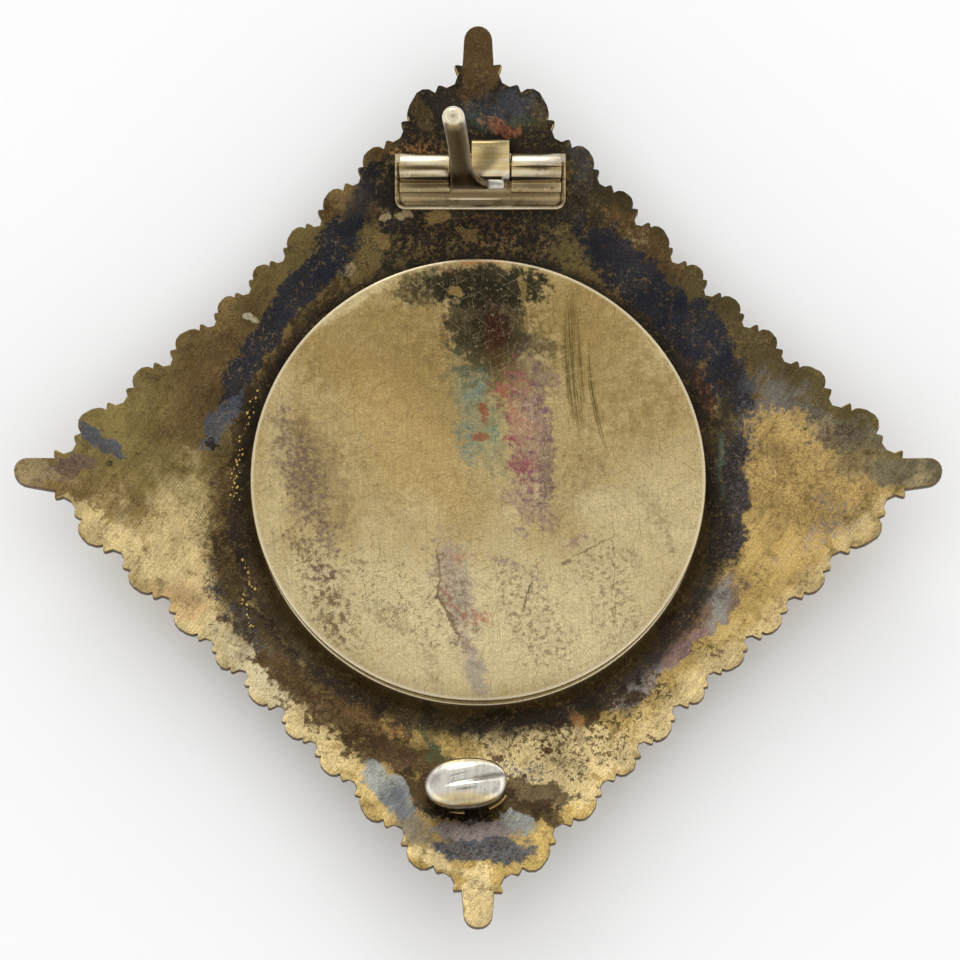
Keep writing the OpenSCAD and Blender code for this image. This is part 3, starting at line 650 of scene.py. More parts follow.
# %% Chart of the stains on the cover plate
PLATE_STAINS = [
    # the ground: dimmer towards the top, paler towards the bottom
    (-15, 14, -5, 12, 10, "champagne dim", 0.85, 1.6, "soft"),
    (8, 18, 14, 8, 9, "champagne dim", 0.7, 2, "soft"),
    (-9, 7, -3.6, -1, 7, "warm gold", 0.6, 2, "soft"),
    (-10, -13, 12, -14, 13, "champagne pale", 0.95, 1.6, "soft"),
    (12, -9, 17, -2, 9, "champagne pale", 0.6, 2, "soft"),
    (-18, 8, -18.6, -6, 3, "champagne pale", 0.5, 2, "soft"),
    # a painted highlight along the upper left edge of the plate
    (-15.4, 13.6, -8, 19, 0.9, "champagne pale", 0.6, 0.8, "soft"),
    # the cloud and its column
    (-6.3, 17.6, -3.2, 18.2, 3.6, "cloud", 0.85, 2.2, "spots"),
    (-6, 17.8, -3.4, 18.2, 2.8, "cloud", 0.5, 2.2),
    (-2.6, 18.1, 4.4, 18, 4.2, "cloud", 0.96, 1.4),
    (1, 11.8, 2.4, 9.8, 6.4, "strokes", 0.6, 2, "soft"),
    (-0.4, 16.4, 0.2, 12.8, 5.6, "cloud", 0.85, 1.6),
    (2, 16.6, 2.2, 12.8, 4.6, "cloud", 0.85, 1.8),
    (0, 13, 1.8, 10.8, 3.6, "cloud", 0.6, 2, "soft"),
    (1.6, 15, 1.5, 11.4, 2.2, "dark red", 0.7, 2, "soft"),
    (3, 15, 3.2, 11.6, 1.6, "dark red", 0.6, 3, "spots"),
    (-3.3, 15.6, -2.8, 12.4, 1.1, "red brown", 0.6, 3, "spots"),
    (4.6, 15.2, 5.6, 12, 2.8, "strokes", 0.7, 3, "spots"),
    (4, 12.6, 6.4, 12.4, 1.8, "cloud", 0.5, 3, "soft"),
    (-2.2, 17.5, -1.9, 17.3, 0.9, "champagne dim", 0.8, 1.6),
    (3.9, 18.9, 3.9, 16.8, 0.7, "champagne dim", 0.6, 1.6),
    (-3.6, 19.8, -2.6, 19.4, 0.9, "rust", 0.6, 2, "spots"),
    (-2.4, 20.6, 2.4, 20.6, 0.9, "orange", 0.9, 0.8),
    # teal, rose and magenta below it
    (-1, 10.6, 6.4, 10.4, 3.4, "olive", 0.4, 2, "soft"),
    (-1.2, 9.4, 1.2, 2.6, 3.4, "sea green", 0.4, 2, "soft"),
    (0.4, 9.6, -0.8, 7, 1.7, "sea blue", 0.8, 3, "spots"),
    (-1.4, 4.8, -0.8, 2.2, 2.2, "sea blue", 0.85, 3, "spots"),
    (1, 5, 1.4, 3.8, 1.5, "sea green", 0.75, 3, "spots"),
    (0.4, 7, 0.5, 5.4, 0.55, "orange red", 0.85, 1.6),
    (-0.1, 3.8, 0.4, 3.7, 0.8, "orange red", 0.8, 1.6),
    (4.4, 9, 5.0, -1, 3.4, "mauve", 0.4, 2, "soft"),
    (3.4, 8.8, 5, 2, 3.4, "rose", 0.8, 2.5, "dots"),
    (4.4, 7, 4.6, -0.6, 3.2, "magenta", 0.75, 2.5, "dots"),
    (5.6, 8, 6, -2, 2.2, "violet", 0.6, 2.5, "dots"),
    (1.4, 8.5, 4, 7.8, 1.6, "rose", 0.85, 2.6, "spots"),
    (1.6, 8.2, 3.8, 8.0, 0.8, "orange red", 0.5, 2.6, "spots"),
    (3, 6.8, 3.6, 5.4, 1.4, "rose", 0.6, 2.6, "spots"),
    (2.4, 3.8, 4.8, 3.6, 0.9, "crimson", 0.85, 2.2, "spots"),
    (3.4, 5.4, 5.2, 4.6, 1.6, "rose", 0.7, 2.6, "spots"),
    (3.1, 1.3, 4.9, 1.1, 1.9, "magenta", 0.8, 2, "spots"),
    (3.2, 1.2, 4.8, 1.1, 1.2, "crimson", 0.4, 2),
    (6.2, 5, 6.3, -2.6, 1.3, "violet brown", 0.75, 2, "spots"),
    (6, 4, 6.2, -1, 1.1, "violet brown", 0.4, 2, "soft"),
    (5.2, 10.6, 7.4, 8.6, 1.7, "violet", 0.6, 3, "spots"),
    (4.6, 7.4, 5.8, 5, 1.6, "violet", 0.6, 2.6, "spots"),
    (3.8, 7.6, 5.6, 1.6, 2.8, "champagne pale", 0.5, 2.5, "spots", "dots"),
    (3.2, -1.6, 6.2, -3.8, 2.8, "mauve", 0.65, 3, "spots"),
    (3.5, -4.8, 4.3, -5.2, 1.1, "violet", 0.6, 2.5, "spots"),
    (6, -4, 6.6, -5.2, 1.0, "mauve", 0.5, 2.5, "spots"),
    # the brown mottles on the left
    (-16.6, 3.4, -14, -1.8, 5.4, "mottle", 0.4, 2, "soft"),
    (-17, 4, -14.4, -4, 3.6, "violet brown", 0.6, 3, "dots"),
    (-18, 5.4, -16.2, 4.4, 2, "mottle", 0.5, 3, "spots"),
    (-16.2, 2.6, -16, -3.6, 2.6, "violet brown", 0.6, 3, "spots"),
    (-15, 1, -10.6, 2, 2.4, "mottle", 0.5, 3, "scribble"),
    (-17.2, -5.6, -15, -7, 2.4, "mottle", 0.7, 3.5, "spots"),
    (-14.2, -4.2, -13.4, -6.8, 1.8, "violet brown", 0.7, 3.5, "spots"),
    (-14.8, -8.8, -13.6, -9, 1.9, "violet brown", 0.85, 2, "spots"),
    (-13.4, -10, -12.6, -13, 2.2, "mottle", 0.75, 3.5, "spots"),
    (-14.4, -11, -13.4, -14.2, 1.3, "mottle", 0.6, 3.5, "spots"),
    (-13.4, -13.8, -11.8, -14.8, 1.2, "mottle", 0.8, 2.5, "spots"),
    (-12, -7.6, -9.6, -8, 0.8, "mottle", 0.6, 2.5, "spots"),
    (-9, -12.2, -6.8, -13.8, 2.4, "mottle", 0.5, 2.5, "spots"),
    (-9.4, -9.6, -4.6, -13.4, 5, "mottle", 0.7, 2.5, "scribble"),
    (-4.6, -14.8, -3.8, -19.4, 1.6, "mottle", 0.4, 3, "spots"),
    # the triangle at the bottom
    (-2.8, -7.4, -1.4, -12.8, 2.9, "mauve grey", 0.55, 1.6, "soft"),
    (-3.2, -7, -0.6, -7.6, 1.5, "rose", 0.5, 3, "spots"),
    (-3.0, -10.6, -2.2, -12.8, 1.2, "rose", 0.7, 2.5, "spots"),
    (-1.2, -12.8, 0.6, -13.2, 1.9, "rose", 0.75, 2.5, "spots"),
    (-1.9, -10.6, -1.2, -12.2, 0.7, "sea blue", 0.6, 2.5, "spots"),
    (-3.9, -6.6, -3.5, -11.2, 0.32, "mottle", 0.7, 0.7),
    (-3.5, -11.2, -1.7, -14.8, 0.36, "mottle", 0.75, 0.7),
    (-3.6, -8, -1.4, -13, 2.4, "mauve brown", 0.6, 2.5, "dots"),
    (-1.8, -14.4, -0.9, -15.8, 1.2, "violet brown", 0.6, 2.5, "spots"),
    (-0.8, -15.8, 0.2, -19.6, 1.6, "mauve grey", 0.6, 2, "soft"),
    (1.2, -7.2, 4.2, -8.6, 1.0, "mauve", 0.6, 2.5, "spots"),
    (5.1, -8.4, 5.7, -9.8, 1.2, "mauve", 0.6, 2.5, "spots"),
    # scratches and spots on the right
    (4.2, -12.2, 4.8, -9.6, 0.2, "umber", 0.7, 0.35),
    (3, -10, 7, -16, 5, "mottle", 0.6, 2.5, "dots", "spots"),
    (11, -8, 13, -15, 5, "mottle", 0.5, 2.5, "dots", "spots"),
    (-15, -8, -12, -15, 5, "mottle", 0.6, 2.5, "dots", "spots"),
    (8.2, -6.2, 9.6, -5.6, 1.2, "mauve", 0.65, 3, "spots"),
    (7.8, -8, 8.3, -7.8, 0.6, "mottle", 0.7, 2),
    (8.4, -7.2, 12.4, -5.4, 0.16, "mottle", 0.7, 0.5),
    (12.1, -2, 12.4, -14, 0.1, "mottle", 0.6, 0.4),
    (7.2, -3, 10.4, 1.6, 4, "mottle", 0.3, 3, "spots"),
    (13, -6.8, 14.2, -7.6, 1.5, "mottle", 0.45, 3, "spots"),
    (15, -1, 17, -4.6, 2, "mottle", 0.35, 3, "spots"),
    (17.2, -5, 17.8, -7, 0.8, "mottle", 0.5, 2.5, "spots"),
]


# %% Make the finish of the cover plate
PLATE_R = 20.7
# A brush went down the plate and curved to the right. It left a band of fine strokes and one strand
# beside it: each has a place, a top, a length, a bend, a half width and a strength.
BAND_SHARE = 0.54
BRUSH_BANDS = [(8.4, 17.6, 13.6, 0.9, 1.0, 0.85), (10.1, 12.6, 10.2, 1.6, 0.3, 1.0)]
# Fine scratches run in four directions. Each has its turn, and a shift that sets it apart.
SCRATCHES = [(0.12, 3), (-0.35, 9), (0.9, 21), (-1.1, 40)]
# Width of the painted highlight, a cream ring, just inside the plate's rim.
PLATE_RIM_HIGHLIGHT_WIDTH = 0.2


def brush_band(finish, place_x, top, length, bend, half, strength):
    """A band of fine lines that runs down from its top and bends to the right."""
    w = finish.w
    parts = w.parts(finish.place)
    down = w.sum("DIVIDE", w.sum("SUBTRACT", top, parts[1]), length)
    moved = w.sum("MULTIPLY", w.sum("MULTIPLY", down, down), bend)
    bent = w.put("ShaderNodeCombineXYZ", {0: w.sum("SUBTRACT", parts[0], moved), 1: parts[1]}).outputs[0]
    lines = finish.noise(1, 3, 0.6, 60, (0.12, 9, 1), place=bent)["Fac"]
    band = w.ease(finish.oval(bent, (place_x, top - length / 2), (half, length * BAND_SHARE)), 1.1, 0.6)
    finish.lay("strokes", w.sum("MULTIPLY", band, w.ease(lines, 0.42, 0.58, 0.25 * strength, strength)))


def make_plate_finish(name, rows):
    finish = Finish(name, "champagne")
    w = finish.w
    cloud = finish.noise(11, 4, 0.5, shift=11)["Fac"]
    patch = finish.noise(1.1, 6, 0.72, shift=5)["Fac"]
    speck = finish.noise(0.5, 4, 0.72, shift=17)["Fac"]
    dots = finish.noise(0.2, 2, 0.6, shift=45)["Fac"]
    grain = w.sum("SUBTRACT", patch, 0.5)
    scribble = w.sum("ABSOLUTE", w.sum("SUBTRACT", finish.noise(1.7, 3, 0.6, shift=61)["Fac"], 0.5))
    mixed = w.sum("MULTIPLY_ADD", speck, 0.4, w.sum("MULTIPLY", patch, 0.6))
    patterns = {
        "spots": w.ease(mixed, 0.44, 0.56),
        "dots": w.ease(speck, 0.47, 0.56),
        "scribble": w.ease(scribble, 0.024, 0.004),
    }
    wander = finish.warp(finish.warp(finish.place, 2.6, 0.5), 0.7, 0.35)
    finish.lay("champagne dim", w.ease(cloud, 0.5, 0.68, 0, 0.6))
    finish.lay("champagne pale", w.ease(cloud, 0.5, 0.34, 0, 0.6))
    for row in rows:
        finish.stain(row, wander, grain, patterns)
    for band in BRUSH_BANDS:
        brush_band(finish, *band)
    finish.lay("mottle", w.ease(patch, 0.58, 0.72, 0, 0.35))
    finish.lay("mottle", w.ease(speck, 0.6, 0.72, 0, 0.4))
    finish.lay("umber", w.ease(dots, 0.69, 0.75, 0, 0.5))
    finish.lay("champagne pale", w.ease(speck, 0.4, 0.3, 0, 0.3))
    light_lines = dark_lines = 0
    for turn, shift in SCRATCHES:
        lines = finish.noise(1, 2, 0.5, shift, (0.1, 5, 1), turn)["Fac"]
        light_lines = w.sum("MAXIMUM", light_lines, w.ease(lines, 0.7, 0.76))
        dark_lines = w.sum("MAXIMUM", dark_lines, w.ease(lines, 0.31, 0.26))
    finish.lay("champagne pale", w.sum("MULTIPLY", light_lines, 0.25))
    finish.lay("mottle", w.sum("MULTIPLY", dark_lines, 0.5))
    brush = finish.noise(1, 3, 0.6, 33, (0.12, 6, 1), 0.03)["Fac"]
    finish.shade(w.ease(brush, 0.3, 0.7, 0.95, 1.05))
    finish.shade(w.ease(patch, 0.3, 0.7, 0.88, 1.12))
    across = finish.noise(1, 3, 0.6, 35, (5, 0.14, 1), 0.1)["Fac"]
    finish.shade(w.ease(across, 0.3, 0.7, 0.96, 1.04))
    finish.shade(w.ease(dots, 0.25, 0.75, 0.84, 1.16))
    # A painted highlight: a cream ring just inside the plate's rim, all round.
    parts = w.parts(finish.place)
    level = w.put("ShaderNodeCombineXYZ", {0: parts[0], 1: parts[1]}).outputs[0]
    finish.lay("cream", w.ease(
        w.vector("LENGTH", level), PLATE_R - 2 * PLATE_RIM_HIGHLIGHT_WIDTH, PLATE_R - PLATE_RIM_HIGHLIGHT_WIDTH, 0, 0.6))
    rough = w.ease(speck, 0.3, 0.7, 0.3, 0.42)
    return finish.done(rough, w.sum("MULTIPLY_ADD", dark_lines, -0.3, speck), 0.008)


plate_finishes = in_quarters("plate_silver", PLATE_STAINS, make_plate_finish)

# %% [markdown]
# ## Finishes of the fittings
# The hinge, the pin and the catch were filed and polished along their length, so fine lines run along
# them, and the pin's root is worn bright on its right. Painted shade darkens the seams of the hinge and
# the foot of the catch, and painted highlights brighten the barrels, the lip, the catch's upper lobe and
# the pin's point. The bands of the hinge, its stains and its painted light, are charted in the hinge's
# own frame, like the stains above: along the axle, and towards the tip.

# %% The hinge's own frame
HINGE_Y = 29.4
HINGE_X = 0.2
hinge_tilt = asin(HINGE_Y / DISH_R)
axle_low, axle_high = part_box("hinge_axle")
axle_spot = Vector((HINGE_X, *((axle_low + axle_high) / 2 / MM).yz))
foot_spot = Vector((HINGE_X, HINGE_Y, back_height(0, HINGE_Y)))
axle_up = (axle_spot - foot_spot).length
at_hinge = Matrix.Translation(axle_spot * MM) @ Matrix.Rotation(hinge_tilt, 4, "X")
print("the axle is", round(axle_up, 2), "mm above the star")

# %% Chart of the hinge's bands, stains and painted light
HINGE_STAINS_AND_PAINTED_LIGHT = [
    (-0.8, 0.8, 2.66, 0.8, 4.4, "pale gold", 0.85, 0.4),
    # Along the barrels: cream and silver painted highlights on their tops and lower fronts, a thin dark
    # band between them that is painted dark reflection (on the left barrel partly brown tarnish), and a
    # near-black band of painted shade low on their fronts, above the rails.
    (-7.4, 0.95, -2.8, 0.95, 1.1, "cream", 0.8, 0.3, "soft"),
    (2.8, 0.95, 7.4, 0.95, 1.1, "silver", 0.6, 0.3, "soft"),
    (-7.4, 0.12, -2.8, 0.1, 0.42, "brown", 0.75, 1.5, "soft"),
    (2.8, 0.2, 7.4, 0.22, 0.22, "umber", 0.9, 0.6),
    (-7.4, -0.36, 7.4, -0.36, 0.5, "cream", 0.8, 0.6, "soft"),
    (-7.6, -0.87, 7.6, -0.87, 0.36, "near black", 1.0, 0.35),
    (-7.4, -1.42, -2.8, -1.42, 0.62, "olive dark", 0.6, 1.2, "soft"),
    (2.8, -1.42, 7.4, -1.42, 0.62, "tan", 0.6, 1.2, "soft"),
    (-7.6, -2.3, 7.6, -2.3, 0.6, "brown", 0.75, 1, "soft"),
    (-7.6, -3.0, 7.6, -3.0, 0.62, "umber", 0.75, 1, "soft"),
    (-3.2, -2.68, 2.0, -2.68, 0.12, "cream", 0.7, 0.6),
    # a painted highlight along the top of the lip
    (-7.6, -3.46, 7.6, -3.46, 0.4, "cream", 0.9, 0.4, "soft"),
    # painted shade across the leaf: gold, then darker olive on its rounded back
    (-0.8, 1.2, 2.66, 1.2, 0.6, "gold", 0.6, 1.2, "soft"),
    (-0.8, 2.5, 2.66, 2.5, 0.9, "olive", 0.7, 1, "soft"),
]


# %% Make the finishes of the fittings
def make_fitting_finish(
        name, base, dark, light, rough, stains=(), spot=None, turn=0, lines=(4, 0.1, 1), painted_shade_below=None):
    """Metal with filed lines, dark and light patches, its stains and painted light, and painted shade
    below a height if asked.
    """
    finish = Finish(name, base, spot, turn, "3D")
    w = finish.w
    patch = finish.noise(0.9, 5, 0.65, shift=13)["Fac"]
    speck = finish.noise(0.22, 3, 0.7, shift=29)["Fac"]
    filed = finish.noise(1, 3, 0.6, 17, lines)["Fac"]
    grain = w.sum("SUBTRACT", patch, 0.5)
    spots = w.ease(speck, 0.46, 0.6)
    finish.lay(light, w.ease(patch, 0.46, 0.34, 0, 0.5))
    finish.lay(dark, w.ease(patch, 0.54, 0.66, 0, 0.6))
    for row in stains:
        finish.stain(row, finish.place, grain, {"spots": spots})
    finish.lay(dark, w.ease(speck, 0.6, 0.72, 0, 0.4))
    if painted_shade_below:
        # Painted shade: near-black laid below the given height, round the foot of the piece.
        height = w.parts(finish.place)[2]
        finish.lay("near black", w.ease(height, painted_shade_below + 0.5, painted_shade_below - 0.4, 0, 0.9))
    finish.shade(w.ease(filed, 0.3, 0.7, 0.88, 1.12))
    return finish.done(rough, w.sum("ADD", speck, filed), 0.004)


hinge_finish = make_fitting_finish(
    "hinge_silver", "tan", "olive dark", "cream", 0.24, HINGE_STAINS_AND_PAINTED_LIGHT, axle_spot, hinge_tilt)
axle_finish = make_fitting_finish("axle_silver", "brown", "umber", "bronze", 0.35)
CATCH_STAINS_AND_PAINTED_LIGHT = [
    (-5.2, -27.9, -4.2, -28.3, 1.2, "mauve grey", 0.7, 1.4, "soft"),
    (-3.8, -30.2, 2, -30.2, 1.1, "pale gold", 0.8, 1.2, "soft"),
    # painted shade in the groove, on its right
    (-0.6, -28.5, 2.6, -27.8, 0.6, "umber", 0.7, 1.2, "soft"),
    # a painted highlight on the upper lobe, at its left
    (-3.4, -26.6, 0, -26.8, 1.4, "cream", 0.5, 1.5, "soft"),
]
# The catch gets painted shade round its foot, below the height given.
catch_finish = make_fitting_finish(
    "catch_silver", "silver", "steel", "silver", 0.24, CATCH_STAINS_AND_PAINTED_LIGHT, lines=(0.3, 2, 1), painted_shade_below=8.15)
medallion_finish = make_fitting_finish("medallion_silver", "tan", "olive", "pale gold", 0.35)
# A bright gold that is the painted highlight on the star's rounded edge and also the colour of the
# solder, and a dark brown that is painted shade on the star's thin wall.
rim_highlight_and_solder_finish = make_fitting_finish("star_rim_highlight_and_solder", "gold", "brown", "pale gold", 0.3)
wall_shade_finish = make_fitting_finish("star_wall_shade", "brown", "near black", "olive dark", 0.45)
print("the hinge has", len(HINGE_STAINS_AND_PAINTED_LIGHT), "bands, the catch", len(CATCH_STAINS_AND_PAINTED_LIGHT), "stains")


def make_pin_finish():
    """Brown along the pin, with a dark streak, and cream towards the point as a painted highlight."""
    finish = Finish("pin_silver", "brown", dimensions="3D")
    w = finish.w
    parts = w.parts(finish.place)
    patch = finish.noise(1.4, 5, 0.65, shift=13)["Fac"]
    speck = finish.noise(0.22, 3, 0.7, shift=29)["Fac"]
    streaks = finish.noise(1, 3, 0.6, 23, (0.7, 0.7, 24))["Fac"]
    finish.lay("bronze", w.ease(patch, 0.54, 0.4, 0, 0.7))
    finish.lay("umber", w.ease(streaks, 0.5, 0.6, 0, 0.6))
    finish.lay("tan", w.ease(streaks, 0.46, 0.36, 0, 0.35))
    finish.lay("silver", w.ease(parts[0], 0.8, 1.1, 0, 0.9))
    # A painted highlight: cream towards the pin's point.
    finish.lay("cream", w.ease(parts[2], 58, 64, 0, 0.95))
    finish.shade(w.ease(speck, 0.3, 0.7, 0.86, 1.14))
    return finish.done(0.28, speck, 0.006)


pin_finish = make_pin_finish()

# %% [markdown]
# ## The hollow back of the star
# The real star is struck or cut from sheet silver, dished a little so that its tips stand off the
# coat, and its front is cut into rays. The outline is read from the measured solid. It is filled with
# a flat net of small triangles, once for the back and once for the front, and a Geometry Nodes tree
# then bends both into the ball and presses the grooves of the rays into the front, because the shape
# follows a rule: a ball, and a ray every nine degrees.

# %% Read the star's outline from the measured solid
HOLLOW_SLOPE = 0.8
SAME_PLACE = 0.002


def star_outline():
    """Walks along the edges between the hollow back, which looks up, and the rim."""
    form = bmesh.new()
    form.from_mesh(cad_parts["star_body"].data)
    bmesh.ops.remove_doubles(form, verts=form.verts, dist=SAME_PLACE * MM)
    form.normal_update()
    beside = {}
    for edge in form.edges:
        if len(edge.link_faces) == 2:
            hollow = [face.normal.z > HOLLOW_SLOPE for face in edge.link_faces]
            if hollow[0] != hollow[1]:
                for here, there in (edge.verts, reversed(edge.verts)):
                    beside.setdefault(here, []).append(there)
    start = max(beside, key=lambda corner: corner.co.y)
    walk = [start]
    came, here = start, min(beside[start], key=lambda corner: corner.co.x)
    while here is not start:
        walk.append(here)
        came, here = here, next(corner for corner in beside[here] if corner is not came)
    outline = [Vector(corner.co.xy) / MM for corner in walk]
    form.free()
    return outline


def worn(loop, passes, sharp_turn):
    """The loop after years of rubbing: a point that sticks out sharply is worn back at each pass."""
    for _ in range(passes):
        rubbed = []
        for i, point in enumerate(loop):
            before, after = loop[i - 1], loop[(i + 1) % len(loop)]
            turn = (point - before).normalized().cross((after - point).normalized())
            rubbed.append(point.lerp((before + after) / 2, 0.5) if turn > sin(sharp_turn) else point)
        loop = rubbed
    return loop


WEAR_PASSES = 3
WEAR_TURN = radians(32)
outline = worn(star_outline(), WEAR_PASSES, WEAR_TURN)
print("outline of", len(outline), "points, up to", round(max(p.y for p in outline), 2), "mm")


# %% Fill the outline with a net of triangles
EDGE_ROUND = 0.1
NET_TURN = radians(0.75)
NET_STEP = 0.6
NET_START = 4
KEEP_OFF = 0.3


def inward(loop, distance):
    """The loop moved inward, with the corners kept from running too far."""
    moved = []
    for i, point in enumerate(loop):
        sides = [(point - loop[i - 1]).normalized(), (loop[(i + 1) % len(loop)] - point).normalized()]
        squares = [Vector((-side.y, side.x)) for side in sides]
        middle = (squares[0] + squares[1]).normalized()
        moved.append(point + middle * distance / max(middle.dot(squares[0]), 0.7))
    return moved


def crosses(loop, y):
    """Where the loop crosses a level line, from left to right."""
    places = []
    for a, b in zip(loop, loop[1:] + loop[:1]):
        if (a.y > y) != (b.y > y):
            places.append(a.x + (y - a.y) / (b.y - a.y) * (b.x - a.x))
    return sorted(places)


def net_points(loop):
    """Points on circles round the middle that lie well inside the loop, fewer under the plate."""
    near = KDTree(len(loop))
    for i, point in enumerate(loop):
        near.insert(point.to_3d(), i)
    near.balance()
    points = [Vector((0, 0))]
    turns = round(2 * pi / NET_TURN)
    radius = NET_START
    while radius < cad_high.x / MM:
        thin = 8 if radius < 12 else 2 if radius < 18 else 1
        for k in range(0, turns, thin):
            point = radius * Vector((cos(k * NET_TURN), sin(k * NET_TURN)))
            inside = sum(place < point.x for place in crosses(loop, point.y)) % 2
            if inside and near.find(point.to_3d())[2] > KEEP_OFF:
                points.append(point)
        radius += NET_STEP * (4 if thin == 8 else 1)
    return points


rim = inward(outline, EDGE_ROUND)
net = net_points(rim)
loop_faces = [list(range(len(rim)))]
net_flat, _, net_faces, *_ = delaunay_2d_cdt(rim + net, [], loop_faces, 1, 1e-5)
print("net of", len(net_flat), "points and", len(net_faces), "triangles; rim kept:",
      (net_flat[0] - rim[0]).length < 1e-4)


# %% Join the two nets with a round edge
BODY_T = 1.1


def flat_star():
    """The star before it is dished: each point's share of the metal's thickness is kept beside it."""
    corner = EDGE_ROUND * (1 - sin(radians(45)))
    rings = [
        (inward(outline, corner), corner / BODY_T),
        (outline, EDGE_ROUND / BODY_T),
        (outline, 1 - EDGE_ROUND / BODY_T),
        (inward(outline, corner), 1 - corner / BODY_T),
    ]
    count = len(outline)
    points = [(p, 0.0) for p in net_flat]
    faces = [list(face) for face in net_faces]
    loops = [list(range(count))]
    for ring, share in rings:
        loops.append([len(points) + i for i in range(count)])
        points += [(p, share) for p in ring]
    under = len(points)
    points += [(p, 1.0) for p in net_flat]
    faces += [[under + i for i in reversed(face)] for face in net_faces]
    loops.append([under + i for i in range(count)])
    for upper, lower in zip(loops, loops[1:]):
        for i in range(count):
            j = (i + 1) % count
            faces.append([upper[j], upper[i], lower[i], lower[j]])
    mesh = metal_mesh("flat_star", [(p.x, p.y, 0) for p, share in points], faces)
    shares = mesh.attributes.new("share", "FLOAT", "POINT")
    shares.data.foreach_set("value", [share for p, share in points])
    return mesh


# %% The tree that dishes the star and presses its rays
def dish_tree(finish):
    sizes = {
        "Ball radius": ("Float", DISH_R * MM),
        "Metal": ("Float", BODY_T * MM),
        "Deepest place": ("Float", BASE_Z * MM),
        "Ray angle": ("Float", radians(9)),
        "Groove depth": ("Float", 0.45 * MM),
        "Groove width": ("Float", 1.5 * MM),
        "Rib depth": ("Float", 0.07 * MM),
        "Finish": ("Material", None),
    }
    w, given = start_tree("dish the star", sizes)
    place = w.parts(w.put("GeometryNodeInputPosition").outputs[0])
    share = w.put("GeometryNodeInputNamedAttribute", {"Name": "share"}, data_type="FLOAT").outputs[0]
    along = w.sum("SQRT", w.sum("ADD", w.sum("POWER", place[0], 2), w.sum("POWER", place[1], 2)))
    turn = w.sum("DIVIDE", w.sum("ARCTAN2", place[1], place[0]), given["Ray angle"])
    from_groove = w.sum("ABSOLUTE", w.sum("SUBTRACT", w.sum("FLOORED_MODULO", turn, 1), 0.5))
    across = w.sum("MULTIPLY", w.sum("MULTIPLY", from_groove, given["Ray angle"]), along)
    slope = w.sum("DIVIDE", across, w.sum("MULTIPLY", given["Groove width"], 0.5))
    groove = w.sum("MULTIPLY", w.sum("SUBTRACT", 1, slope, clamp=True), given["Groove depth"])
    wave = w.sum("COSINE", w.sum("MULTIPLY", from_groove, 12 * pi))
    rib = w.sum("MULTIPLY", w.sum("ADD", w.sum("MULTIPLY", wave, 0.5), 0.5), given["Rib depth"])
    left = w.sum("SUBTRACT", w.sum("SUBTRACT", given["Metal"], groove), rib)
    radius = w.sum("ADD", given["Ball radius"], w.sum("MULTIPLY", share, left))
    drop = w.sum("SUBTRACT", w.sum("POWER", radius, 2), w.sum("POWER", along, 2))
    top = w.sum("ADD", given["Deepest place"], given["Ball radius"])
    height = w.sum("SUBTRACT", top, w.sum("SQRT", drop))
    spot = w.put("ShaderNodeCombineXYZ", {0: place[0], 1: place[1], 2: height}).outputs[0]
    bent = w.put("GeometryNodeSetPosition", {"Geometry": given["Geometry"], "Position": spot})
    end_tree(w, bent.outputs[0], given["Finish"])
    return w


# %% Make the star
RIM_SLOPE = 0.88
WALL_SLOPE = 0.5


def share_out(piece, finishes):
    """Give each quarter of a piece its own finish of the four."""
    for finish in finishes[1:]:
        piece.data.materials.append(finish)
    for face in piece.data.polygons:
        face.material_index = (2 if face.center.y < 0 else 0) + (1 if face.center.x > 0 else 0)


star_mesh = run_tree("dish the star", flat_star(), dish_tree(None), {"Finish": star_finishes[0]})
star = hand_in("star_back_and_rays", star_mesh, "star", star_finishes[0], "star_body", 45)
share_out(star, star_finishes)
# The rounded edge gets a painted highlight in bright gold, and the thin wall below it gets painted shade
# in dark brown.
star.data.materials.append(rim_highlight_and_solder_finish)
star.data.materials.append(wall_shade_finish)
for face in star.data.polygons:
    if abs(face.normal.z) < RIM_SLOPE:
        face.material_index = 4 if abs(face.normal.z) > WALL_SLOPE else 5


# %% [markdown]
# ## The round cover plate
# It is a spun silver box that hides the rivets of the front. Its flat top has a thin rounded rim, its
# wall stands back under the rim, and a foot ring meets the star. A shape like this is turned: one
# profile goes round the middle, and this helper makes such a shape round any axis.

# %% Helpers that turn a profile
def skin(form, rings, steps):
    """Faces between rings of corners. A ring may be a single corner, the pole."""
    for lower, upper in zip(rings, rings[1:]):
        for k in range(steps):
            j = (k + 1) % steps
            corners = [lower[k % len(lower)], lower[j % len(lower)]]
            corners += [upper[j % len(upper)], upper[k % len(upper)]]
            form.faces.new(list(dict.fromkeys(corners)))


def finished(form):
    """Points all faces outwards and turns the form's millimetres into metres."""
    bmesh.ops.recalc_face_normals(form, faces=form.faces)
    bmesh.ops.scale(form, vec=(MM, MM, MM), verts=form.verts)
    return form


def turned(profile, steps, axis="Z"):
    """A closed form. The profile is (radius, height) from pole to pole."""
    form = bmesh.new()
    rings = []
    for radius, height in profile:
        count = 1 if radius == 0 else steps
        ring = []
        for k in range(count):
            a = 2 * pi * k / steps
            spot = Vector((radius * cos(a), radius * sin(a), height))
            ring.append(form.verts.new((spot.z, spot.x, spot.y) if axis == "X" else spot))
        rings.append(ring)
    skin(form, rings, steps)
    return finished(form)


def rounded(corner, radius, start, end, steps=4):
    """Points of a round corner about its centre, from one angle to the other, in degrees."""
    points = []
    for k in range(steps + 1):
        a = radians(start + (end - start) * k / steps)
        points.append((corner[0] + radius * cos(a), corner[1] + radius * sin(a)))
    return points


